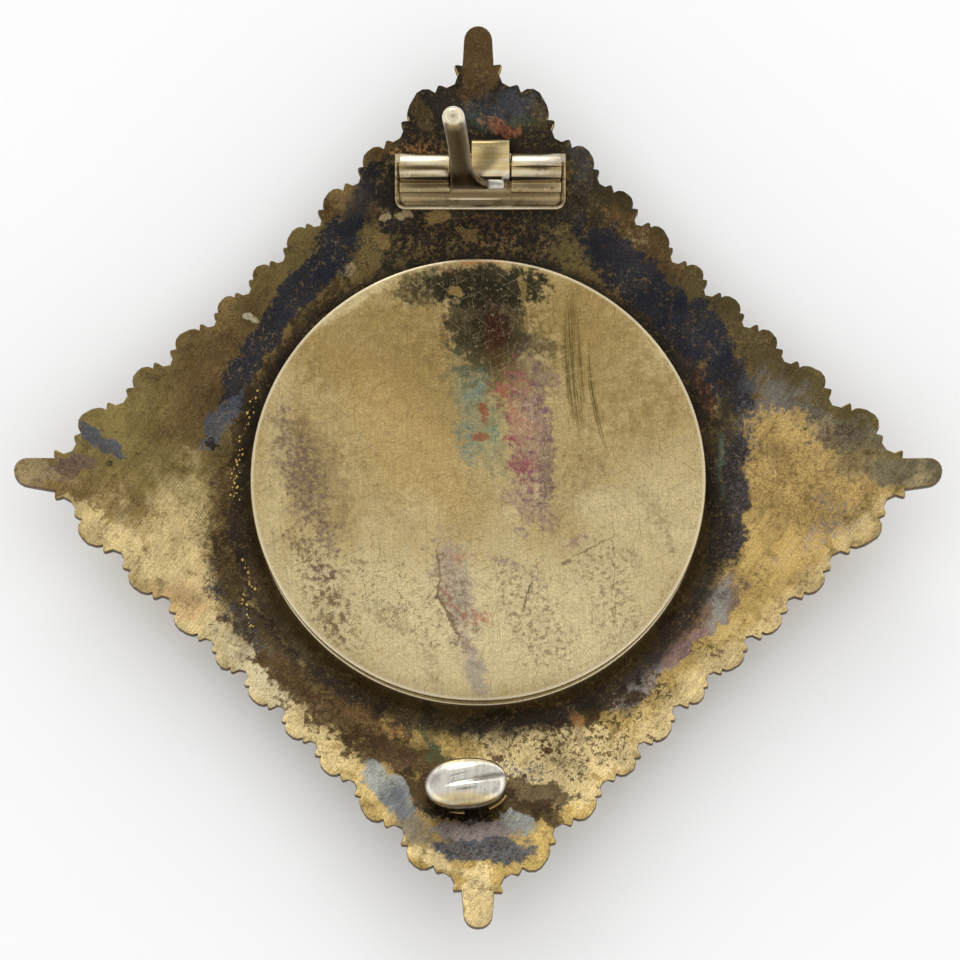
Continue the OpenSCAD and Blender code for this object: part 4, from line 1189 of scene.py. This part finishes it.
# %% Make the cover plate
PLATE_H = 3
PLATE_T = 0.7
RIM_ROUND = 0.24
WALL_INSET = 0.45
FOOT_H = 0.45
FOOT_R = PLATE_R - 0.1
FOOT_ROUND = 0.15
SUNK = 0.05
plate_top = BASE_Z + sag(PLATE_R) + PLATE_H
rim_under = plate_top - PLATE_T
foot_top = BASE_Z + sag(PLATE_R) + FOOT_H
wall_r = PLATE_R - WALL_INSET
plate_profile = [
    (0, plate_top),
    *[(r, plate_top) for r in (4, 8, 12, 16, 19)],
    *rounded((PLATE_R - RIM_ROUND, plate_top - RIM_ROUND), RIM_ROUND, 90, 0),
    *rounded((PLATE_R - RIM_ROUND, rim_under + RIM_ROUND), RIM_ROUND, 0, -90),
    (wall_r, rim_under),
    (wall_r, foot_top),
    *rounded((FOOT_R - FOOT_ROUND, foot_top - FOOT_ROUND), FOOT_ROUND, 90, 0),
    (FOOT_R, BASE_Z + sag(FOOT_R) - SUNK),
    (wall_r - PLATE_T, BASE_Z + sag(wall_r - PLATE_T) - SUNK),
    (wall_r - PLATE_T, rim_under),
    (0, rim_under),
]
plate_mesh = joined("cover_plate", [turned(plate_profile, 240)])
plate = hand_in("cover_plate", plate_mesh, "star", plate_finishes[0], "back_plate", 35)
share_out(plate, plate_finishes)

# %% [markdown]
# Left of the plate a seam of solder ran out and froze in grains on the star. Many small round grains
# follow an uneven line, so a Geometry Nodes tree strews them along a path, each with its own size.

# %% Strew the grains of solder
SOLDER_UP = 0.02
SOLDER_PATHS = [
    [(-20.3, 8.6), (-20.9, 6.4), (-21.5, 4.2), (-21.9, 2.2), (-22.1, 0.4), (-22.0, -1.4)],
    [(-22.5, 2.0), (-22.3, 0.2), (-22.4, -1.0)],
    [(-21.3, -6.8), (-20.9, -8.4), (-20.5, -9.8)],
    [(-21.5, -10.4), (-20.9, -12.2), (-20.3, -13.6)],
]


def grain_tree():
    sizes = {
        "Spacing": ("Float", 0.26 * MM),
        "Grain": ("Float", 0.2 * MM),
        "Scatter": ("Float", 0.3 * MM),
        "Seed": ("Int", 4),
        "Finish": ("Material", None),
    }
    w, given = start_tree("strew the grains", sizes)
    path = w.put("GeometryNodeMeshToCurve", {"Mesh": given["Geometry"]})
    feeds = {"Curve": path.outputs[0], "Length": given["Spacing"]}
    points = w.put("GeometryNodeCurveToPoints", feeds, mode="LENGTH")
    feeds = {0: (-1, -1, 0), 1: (1, 1, 0), "Seed": given["Seed"]}
    any_way = w.put("FunctionNodeRandomValue", feeds, data_type="FLOAT_VECTOR").outputs[0]
    reach = w.put("ShaderNodeCombineXYZ", {0: given["Scatter"], 1: given["Scatter"]}).outputs[0]
    aside = w.vector("MULTIPLY", any_way, reach)
    strewn = w.put("GeometryNodeSetPosition", {"Geometry": points.outputs[0], "Offset": aside})
    grain = w.put("GeometryNodeMeshIcoSphere", {"Radius": given["Grain"], "Subdivisions": 2})
    feeds = {2: 0.15, 3: 1.0, "Seed": given["Seed"]}
    size = w.put("FunctionNodeRandomValue", feeds, data_type="FLOAT").outputs[1]
    feeds = {"Points": strewn.outputs[0], "Instance": grain.outputs[0], "Scale": size}
    end_tree(w, w.put("GeometryNodeInstanceOnPoints", feeds).outputs[0], given["Finish"])
    return w


solder_paths = [[(x, y, back_height(x, y) + SOLDER_UP) for x, y in path] for path in SOLDER_PATHS]
solder_line = path_mesh("solder line", solder_paths)
grains = run_tree("strew the grains", solder_line, grain_tree(), {"Finish": rim_highlight_and_solder_finish})
hand_in("solder_grains", grains, "star", rim_highlight_and_solder_finish)

# %% [markdown]
# ## The hinge
# A small plate with a lip is soldered to the star. On it stand two barrels that hold the axle wire,
# each with a rail before it, and between them a leaf bends over the pin's root and stops it. All of
# them are made in the hinge's own frame: along the axle, towards the tip, and square to the star.

# %% Helpers that make bars and blocks with rounded edges
def rod(left, right, radius, edge):
    """A round bar along X."""
    return turned([
        (0, left),
        *rounded((radius - edge, left + edge), edge, 270, 360, 3),
        *rounded((radius - edge, right - edge), edge, 0, 90, 3),
        (0, right),
    ], 48, "X")


def slab(low, high, edge=0.08, steps=2):
    """A block from corner to corner with rounded edges."""
    form = bmesh.new()
    bmesh.ops.create_cube(form, size=1)
    size = [b - a for a, b in zip(low, high)]
    middle = [(a + b) / 2 for a, b in zip(low, high)]
    bmesh.ops.scale(form, vec=size, verts=form.verts)
    bmesh.ops.translate(form, vec=middle, verts=form.verts)
    bmesh.ops.bevel(form, geom=form.edges[:], offset=edge, segments=steps, profile=0.5, affect="EDGES")
    return finished(form)


def prism(outline_points, low, high, edge=0.08, steps=2, axis="Z"):
    """An outline given a height, with the edges of both ends rounded."""
    form = bmesh.new()
    ends = []
    for level in (low, high):
        corners = []
        for a, b in outline_points:
            corners.append(form.verts.new((level, a, b) if axis == "X" else (a, b, level)))
        ends.append(corners)
    form.faces.new(list(reversed(ends[0])))
    form.faces.new(ends[1])
    for i in range(len(outline_points)):
        j = (i + 1) % len(outline_points)
        form.faces.new([ends[0][i], ends[0][j], ends[1][j], ends[1][i]])
    bmesh.ops.recalc_face_normals(form, faces=form.faces)
    end_edges = [e for e in form.edges if (e.verts[0] in ends[0]) == (e.verts[1] in ends[0])]
    bmesh.ops.bevel(form, geom=end_edges, offset=edge, segments=steps, profile=0.5, affect="EDGES")
    return finished(form)


# %% The plate of the hinge
HINGE_W = 15.7
HINGE_FRONT = 3.7
HINGE_BACK = 1.5
HINGE_PLATE_T = 0.6
CORNER_R = 1
half_w = HINGE_W / 2
plate_floor = -axle_up
plate_face = plate_floor + HINGE_PLATE_T


def hinge_plate():
    front = -HINGE_FRONT + CORNER_R
    points = [
        *rounded((-half_w + CORNER_R, front), CORNER_R, 180, 270, 6),
        *rounded((half_w - CORNER_R, front), CORNER_R, 270, 360, 6),
        (half_w, HINGE_BACK),
        (-half_w, HINGE_BACK),
    ]
    return prism(points, plate_floor - 0.1, plate_face, 0.07)


# %% [markdown]
# The lip is a low rounded ridge that runs round the front of the hinge plate and back along both ends.
# It follows a path, so a Geometry Nodes tree sweeps a small round-topped section along that path.

# %% Sweep the lip along the edge of the plate
LIP_H = 0.4
LIP_T = 0.4
LIP_BACK = 4.2
LIP_SUNK = 1.6
SWEEP_STEP = 0.1


def sweep_tree(name):
    sizes = {
        "Width": ("Float", LIP_T * MM),
        "Height": ("Float", LIP_H * MM),
        "Corner": ("Float", 0.15 * MM),
        "Finish": ("Material", None),
    }
    w, given = start_tree(name, sizes)
    path = w.put("GeometryNodeMeshToCurve", {"Mesh": given["Geometry"]})
    feeds = {"Curve": path.outputs[0], "Length": SWEEP_STEP * MM}
    even = w.put("GeometryNodeResampleCurve", feeds, mode="LENGTH")
    upright = w.put("GeometryNodeSetCurveNormal", {"Curve": even.outputs[0]}, mode="Z_UP")
    feeds = {"Width": given["Width"], "Height": given["Height"]}
    shape = w.put("GeometryNodeCurvePrimitiveQuadrilateral", feeds)
    fillet = {"Curve": shape.outputs[0], "Count": 4, "Radius": given["Corner"], "Limit Radius": True}
    soft = w.put("GeometryNodeFilletCurve", fillet, mode="POLY")
    feeds = {"Curve": upright.outputs[0], "Profile Curve": soft.outputs[0], "Fill Caps": True}
    swept = w.put("GeometryNodeCurveToMesh", feeds)
    end_tree(w, swept.outputs[0], given["Finish"])
    return w


def lip_points():
    inner = half_w - LIP_T / 2
    front = -HINGE_FRONT + LIP_T / 2
    turn = CORNER_R - LIP_T / 2
    flat = [
        (-inner, front + LIP_BACK),
        *rounded((-inner + turn, front + turn), turn, 180, 270, 8),
        *rounded((inner - turn, front + turn), turn, 270, 360, 8),
        (inner, front + LIP_BACK),
    ]
    return [(x, y, plate_face + LIP_H / 2) for x, y in flat]


lip_size = {"Width": LIP_T * MM, "Height": LIP_H * LIP_SUNK * MM, "Finish": hinge_finish}
lip_path = path_mesh("lip path", [lip_points()])
lip_mesh = run_tree("hinge_lip", lip_path, sweep_tree("sweep the lip"), lip_size)
print("lip of", len(lip_mesh.polygons), "faces")

# %% The barrels, their rails and their feet
BARREL_R = 1.45
BARREL_L = 4.6
HALF_GAP = 2.8
RAIL_BACK = 1.19
RAIL_FRONT = 2.19
RAIL_TOP = 0.87
SEAM_FLOOR = 0.29
FOOT_HALF = 1.15
BARREL_EDGE = 0.13
WELD = 0.1


def barrel_group(side):
    """A barrel, the rail before it and the foot under it, on the left or right."""
    left, right = sorted((side * HALF_GAP, side * (HALF_GAP + BARREL_L)))
    bar = rod(left, right, BARREL_R, BARREL_EDGE)
    rail = slab((left, -RAIL_FRONT, plate_face - WELD), (right, -RAIL_BACK, RAIL_TOP), 0.14, 3)
    foot_low = (left + 0.03, -RAIL_BACK - WELD, plate_face - WELD)
    foot = slab(foot_low, (right - 0.03, FOOT_HALF, -SEAM_FLOOR), 0.04, 1)
    return [bar, rail, foot]


# %% [markdown]
# The leaf stands behind the pin's root, bends over it and stops it. Its front corner on the right is
# broken off, so a slanting plane cuts it: through the edge of the break, and down to the underside.

# %% The leaf that stops the pin
LEAF_LEFT = -0.8
LEAF_RIGHT = 2.66
LEAF_BACK = 2.7
LEAF_FRONT = -1.0
BREAK_START = Vector((2.66, 0.61))
BREAK_END = Vector((0.84, -0.44))
BREAK_W = 0.85
LEAF_T = 0.5
LEAF_UNDER = 1.33


def stop_leaf():
    top = LEAF_UNDER + LEAF_T
    bend = 0.75
    corner = [
        (LEAF_BACK, plate_floor),
        *rounded((LEAF_BACK - bend, top - bend), bend, 0, 90, 6),
        (LEAF_FRONT, top),
        (LEAF_FRONT, LEAF_UNDER),
        *rounded((LEAF_BACK - bend, top - bend), bend - LEAF_T, 90, 0, 4),
        (LEAF_BACK - LEAF_T, plate_floor),
    ]
    form = prism(corner, LEAF_LEFT, LEAF_RIGHT, 0.06, 2, "X")
    line = (BREAK_END - BREAK_START).normalized()
    facing = Vector((-line.y * LEAF_T, line.x * LEAF_T, BREAK_W))
    spot = Vector((*BREAK_START, top)) * MM
    geometry = form.verts[:] + form.edges[:] + form.faces[:]
    plane = {"plane_co": spot, "plane_no": facing, "clear_outer": True}
    cut_there = bmesh.ops.bisect_plane(form, geom=geometry, dist=0.001 * MM, **plane)["geom_cut"]
    bmesh.ops.holes_fill(form, edges=[e for e in cut_there if isinstance(e, bmesh.types.BMEdge)])
    return form


hinge_forms = [hinge_plate(), stop_leaf()]
for side in (-1, 1):
    hinge_forms += barrel_group(side)
hinge_mesh = joined("hinge", hinge_forms, [lip_mesh])
hinge_mesh.transform(at_hinge)
hand_in("hinge_with_barrels", hinge_mesh, "star", hinge_finish, "hinge_base", 40)
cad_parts["hinge_axle"].data.materials[0] = axle_finish
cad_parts["front_medallion"].data.materials[0] = medallion_finish

# %% [markdown]
# ## The pin
# The long pin is one piece of hard wire with a tube across its root. Its root is beaten flat and
# square into a shoulder, which flares from the tube and runs out into the round wire. It is lofted:
# sections change from a flat rounded box to a circle, and then close in a blunt point.

# %% Helpers that loft sections
def squarish(a, power):
    """A place on a circle that is pressed towards a square, for a turn of a."""
    return [abs(c) ** power * (1 if c > 0 else -1) for c in (cos(a), sin(a))]


def lofted(sections, steps=40):
    """Each section is (height, middle x, middle y, half width, half depth, squareness)."""
    form = bmesh.new()
    rings = []
    for z, x, y, wide, deep, square in sections:
        ring = []
        for k in range(steps):
            along, across = squarish(2 * pi * k / steps, 2 / square)
            ring.append(form.verts.new((x + wide * along, y + deep * across, z)))
        rings.append(ring)
    skin(form, rings, steps)
    form.faces.new(list(reversed(rings[0])))
    form.faces.new(rings[-1])
    return finished(form)


# %% Make the pin
PIN_R = 0.95
TUBE_HALF = 2.72
TUBE_R = 1.25
TUBE_EDGE = 0.12
PIN_X = PIN_R + 0.02 - TUBE_HALF
SHOULDER_H = 2
SHOULDER_RIGHT = TUBE_HALF - 0.6
NECK_FRONT = -1.7
NECK_BACK = -0.7
SHOULDER_FRONT = -1.95
SHOULDER_BACK = -1.12
ROOT_RIGHT = 0.75
FLARE_L = 9
POINT_L = 2
LEAN = -0.55
OPEN_ANGLE = 78.4
pin_length = (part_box("pin")[1] - axle_spot * MM).z / MM / cos(radians(90 - OPEN_ANGLE))
stand = Matrix.Translation(axle_spot * MM) @ Matrix.Rotation(radians(90 - OPEN_ANGLE), 4, "X")
print("the pin is", round(pin_length, 1), "mm long")


def pin_sections():
    left = PIN_X - PIN_R
    wide = (SHOULDER_RIGHT - left) / 2
    x = (SHOULDER_RIGHT + left) / 2
    sections = []
    for z, front, back in (
        (-0.4, NECK_FRONT, NECK_BACK),
        (0.9, NECK_FRONT, NECK_BACK),
        (1.24, SHOULDER_FRONT, SHOULDER_BACK),
        (SHOULDER_H - 0.06, SHOULDER_FRONT, SHOULDER_BACK),
    ):
        sections.append((z, x, (front + back) / 2, wide, (back - front) / 2, 8))
    y = (SHOULDER_FRONT + SHOULDER_BACK) / 2
    deep = (SHOULDER_BACK - SHOULDER_FRONT) / 2
    sections.append((SHOULDER_H, x, y, wide - 0.06, deep - 0.06, 8))
    for k in range(13):
        share = k / 12
        soft = share * share * (3 - 2 * share)
        side = between(ROOT_RIGHT, PIN_X + PIN_R, 1 - (1 - share) ** 2.5)
        half = (side - left) / 2
        sections.append((
            between(SHOULDER_H + 0.03, FLARE_L, share),
            left + half,
            between(y, 0, soft),
            half,
            between(deep, PIN_R, soft),
            between(7, 2, min(1, share * 1.6)),
        ))
    straight = pin_length - POINT_L
    sections += [(between(FLARE_L, straight, k / 10), PIN_X, 0, PIN_R, PIN_R, 2) for k in range(1, 11)]
    for share in (0.15, 0.3, 0.45, 0.6, 0.75, 0.88, 0.96, 1.0):
        r = between(PIN_R * 0.45, PIN_R, sqrt(1 - share ** 2.4))
        sections.append((straight + POINT_L * share, PIN_X, 0, r, r, 2))
    lean = [LEAN * max(0, z / pin_length) ** 1.5 for z, *_ in sections]
    return [(z, x + aside, *others) for (z, x, *others), aside in zip(sections, lean)]


tube = rod(-TUBE_HALF, TUBE_HALF, TUBE_R, TUBE_EDGE)
pin_mesh = joined("pin", [lofted(pin_sections()), tube])
pin_mesh.transform(stand)
hand_in("pin_with_tube", pin_mesh, "pin", pin_finish, "pin", 40)

# %% [markdown]
# ## The catch
# The pin's point hooks under a small bean of two rounded lobes with a groove between them. It is
# hollow: closed on its left and towards the tip, open towards the plate, and open low on its right,
# where the pin slips in. The bean is a rounded block that is domed, and the way for the pin is cut
# out of it by Boolean modifiers.

# %% Make the catch
CATCH_X = -1.1
CATCH_Y = -28.55
CATCH_HALF_W = 3.72
CATCH_HALF_D = 2.34
CATCH_TURN = radians(4)
CATCH_T = 0.85
MOUTH_H = 1.7
FRONT_IN = 1.1
GROOVE_TURN = radians(8)
GROOVE_OFF = 0.1
GROOVE_DEPTH = (0.16, 0.6)
GROOVE_SPREAD = (0.3, 0.55)
DOME_H = 1.7
DOME_POWER = 2.3
BEAN_POWER = 0.87
BEAN_STEPS = 72
WAY_IN = 0.75
WAY_BACK = 3
catch_low, catch_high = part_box("catch")
catch_top = catch_high.z / MM
catch_under = catch_top - CATCH_T
catch_floor = back_height(0, CATCH_Y)


def bean_height(along, across):
    """Height of the bean's skin below its top, for places from -1 to 1 along and across it."""
    edge = min(1.0, (abs(along) ** DOME_POWER + abs(across) ** DOME_POWER) ** (1 / DOME_POWER))
    dome = DOME_H * (1 - sqrt(max(0.0, 1 - edge ** 2)))
    x = along * CATCH_HALF_W
    y = across * CATCH_HALF_D
    line = y - GROOVE_OFF - x * sin(GROOVE_TURN)
    depth = between(*GROOVE_DEPTH, (along + 1) / 2)
    spread = between(*GROOVE_SPREAD, (along + 1) / 2)
    groove = depth * exp(-(line / spread) ** 2) * (1 - edge ** 6)
    return dome + groove


def bean():
    form = bmesh.new()
    rings = [[form.verts.new((0, 0, catch_top - bean_height(0, 0)))]]
    for share in [0.06 * k for k in range(1, 15)] + [0.88, 0.92, 0.95, 0.97, 0.99, 1.0]:
        ring = []
        for k in range(BEAN_STEPS):
            u, v = [share * c for c in squarish(2 * pi * k / BEAN_STEPS, BEAN_POWER)]
            z = catch_top - bean_height(u, v)
            ring.append(form.verts.new((u * CATCH_HALF_W, v * CATCH_HALF_D, z)))
        rings.append(ring)
    rings.append([form.verts.new((v.co.x * 0.96, v.co.y * 0.96, catch_floor - 0.2)) for v in rings[-1]])
    skin(form, rings, BEAN_STEPS)
    form.faces.new(list(reversed(rings[-1])))
    bmesh.ops.rotate(form, matrix=Matrix.Rotation(CATCH_TURN, 3, "Z"), verts=form.verts)
    bmesh.ops.translate(form, vec=(CATCH_X, CATCH_Y, 0), verts=form.verts)
    return finished(form)


def cut(mesh, tools):
    """Cuts the tools out of the mesh with Boolean modifiers."""
    body = bpy.data.objects.new("blank", mesh)
    bpy.context.scene.collection.objects.link(body)
    held = []
    for form in tools:
        tool = bpy.data.objects.new("tool", joined("tool", [form]))
        bpy.context.scene.collection.objects.link(tool)
        step = body.modifiers.new("cut", "BOOLEAN")
        step.operation = "DIFFERENCE"
        step.solver = "EXACT"
        step.object = tool
        held.append(tool)
    bpy.context.view_layer.update()
    result = bpy.data.meshes.new_from_object(body.evaluated_get(bpy.context.evaluated_depsgraph_get()))
    for thing in [body, *held]:
        bpy.data.objects.remove(thing)
    return result


inner_half = WAY_IN * (CATCH_HALF_W - CATCH_T)
way_floor = catch_floor + CATCH_T / 2
way = slab(
    (CATCH_X - inner_half, CATCH_Y - FRONT_IN, way_floor),
    (CATCH_X + inner_half, CATCH_Y + WAY_BACK, catch_under - 0.25),
    0.25, 3,
)
mouth = slab(
    (CATCH_X, CATCH_Y - FRONT_IN, way_floor),
    (CATCH_X + 2 * CATCH_HALF_W, CATCH_Y + WAY_BACK, way_floor + MOUTH_H),
    0.2, 3,
)
catch_mesh = cut(joined("bean", [bean()]), [way, mouth])
hand_in("bean_catch", catch_mesh, "star", catch_finish, "catch", 40)

# %% [markdown]
# At the foot of the catch the solder stands up in two thin bright threads. They are swept along short
# arcs, by the same tree as the lip of the hinge.

# %% Sweep the threads of solder at the catch
BRIM_ARCS = [(228, 268), (304, 345)]
BRIM_STEPS = 12
BRIM_UP = 0.08
BRIM_SIZE = (0.16, 0.2, 0.05)


def brim_arc(first, last):
    points = []
    for k in range(BRIM_STEPS + 1):
        turn = radians(between(first, last, k / BRIM_STEPS))
        x = CATCH_X + CATCH_HALF_W * cos(turn)
        y = CATCH_Y + CATCH_HALF_D * sin(turn)
        points.append((x, y, back_height(x, y) + BRIM_UP))
    return points


brim_path = path_mesh("brim path", [brim_arc(*ends) for ends in BRIM_ARCS])
brim_size = {name: size * MM for name, size in zip(("Width", "Height", "Corner"), BRIM_SIZE)}
brim_size["Finish"] = rim_highlight_and_solder_finish
brim = run_tree("catch_brim", brim_path, sweep_tree("sweep the brim"), brim_size)
hand_in("catch_brim", brim, "star", rim_highlight_and_solder_finish)

# %% [markdown]
# ## Table and light
# The star lies on a plain pale table under a soft white tent. The tent is brighter low down, all round,
# so that every round edge catches a bright line. It has a dark hole overhead, where the lens looks in,
# and it is open in front: polished metal shows the hole as a dark line, and its near edges stay dark.

# %% Put down the table
TABLE_TONE = 0.94
TABLE_ROUGH = 0.9
bpy.ops.mesh.primitive_plane_add(size=4)
table = bpy.context.object
table.name = "table"
table_finish = bpy.data.materials.new("pale table")
table_finish.use_nodes = True
table_shader = table_finish.node_tree.nodes["Principled BSDF"]
table_shader.inputs["Base Color"].default_value = (TABLE_TONE, TABLE_TONE, TABLE_TONE, 1)
table_shader.inputs["Roughness"].default_value = TABLE_ROUGH
table.data.materials.append(table_finish)

# %% Light it
# The tent changes with height, from 1 overhead to 0 at the table's level. The hole and the front are
# places in it that are darker.
TENT_TOP = 1.0
TENT_MIDDLE = 0.85
TENT_LOW = 1.6
HOLE_TILT = radians(7)
HOLE_INNER = radians(6)
HOLE_OUTER = radians(16)
HOLE_DARK = 0.8
FRONT_DARK = 0.5
world = bpy.data.worlds.new("tent")
bpy.context.scene.world = world
world.use_nodes = True
w = Wiring(world.node_tree)
sky = w.put("ShaderNodeTexCoord").outputs["Generated"]
up = w.parts(sky)[2]
hole_middle = (0, -sin(HOLE_TILT), cos(HOLE_TILT))
hole = w.ease(w.vector("DOT_PRODUCT", sky, hole_middle), cos(HOLE_OUTER), cos(HOLE_INNER), 0, -HOLE_DARK)
upper = w.ease(up, 0.55, 0.85, TENT_MIDDLE, TENT_TOP)
lower = w.ease(up, 0.5, 0.2, 0, TENT_LOW - TENT_MIDDLE)
tent = w.tree.nodes["Background"]
tent.inputs["Color"].default_value = (1, 1, 1, 1)
front = w.ease(w.parts(sky)[1], -0.8, -0.95, 1, 1 - FRONT_DARK)
light = w.sum("MULTIPLY", w.sum("ADD", w.sum("ADD", upper, lower), hole), front)
w.tree.links.new(light, tent.inputs["Strength"])
bpy.context.scene.view_settings.view_transform = "Standard"

# %% Add a soft lamp beyond the star's upper tip
KEY_PLACE = Vector((-0.1, 0.7, 0.32))
key = bpy.data.lights.new("key", "AREA")
key.size = 0.35
key.energy = 1.2
key_light = bpy.data.objects.new("key", key)
key_light.location = KEY_PLACE
key_light.rotation_euler = (-KEY_PLACE).to_track_quat("-Z", "Y").to_euler()
bpy.context.scene.collection.objects.link(key_light)
print("the lamp is", round(KEY_PLACE.length, 2), "m from the star")
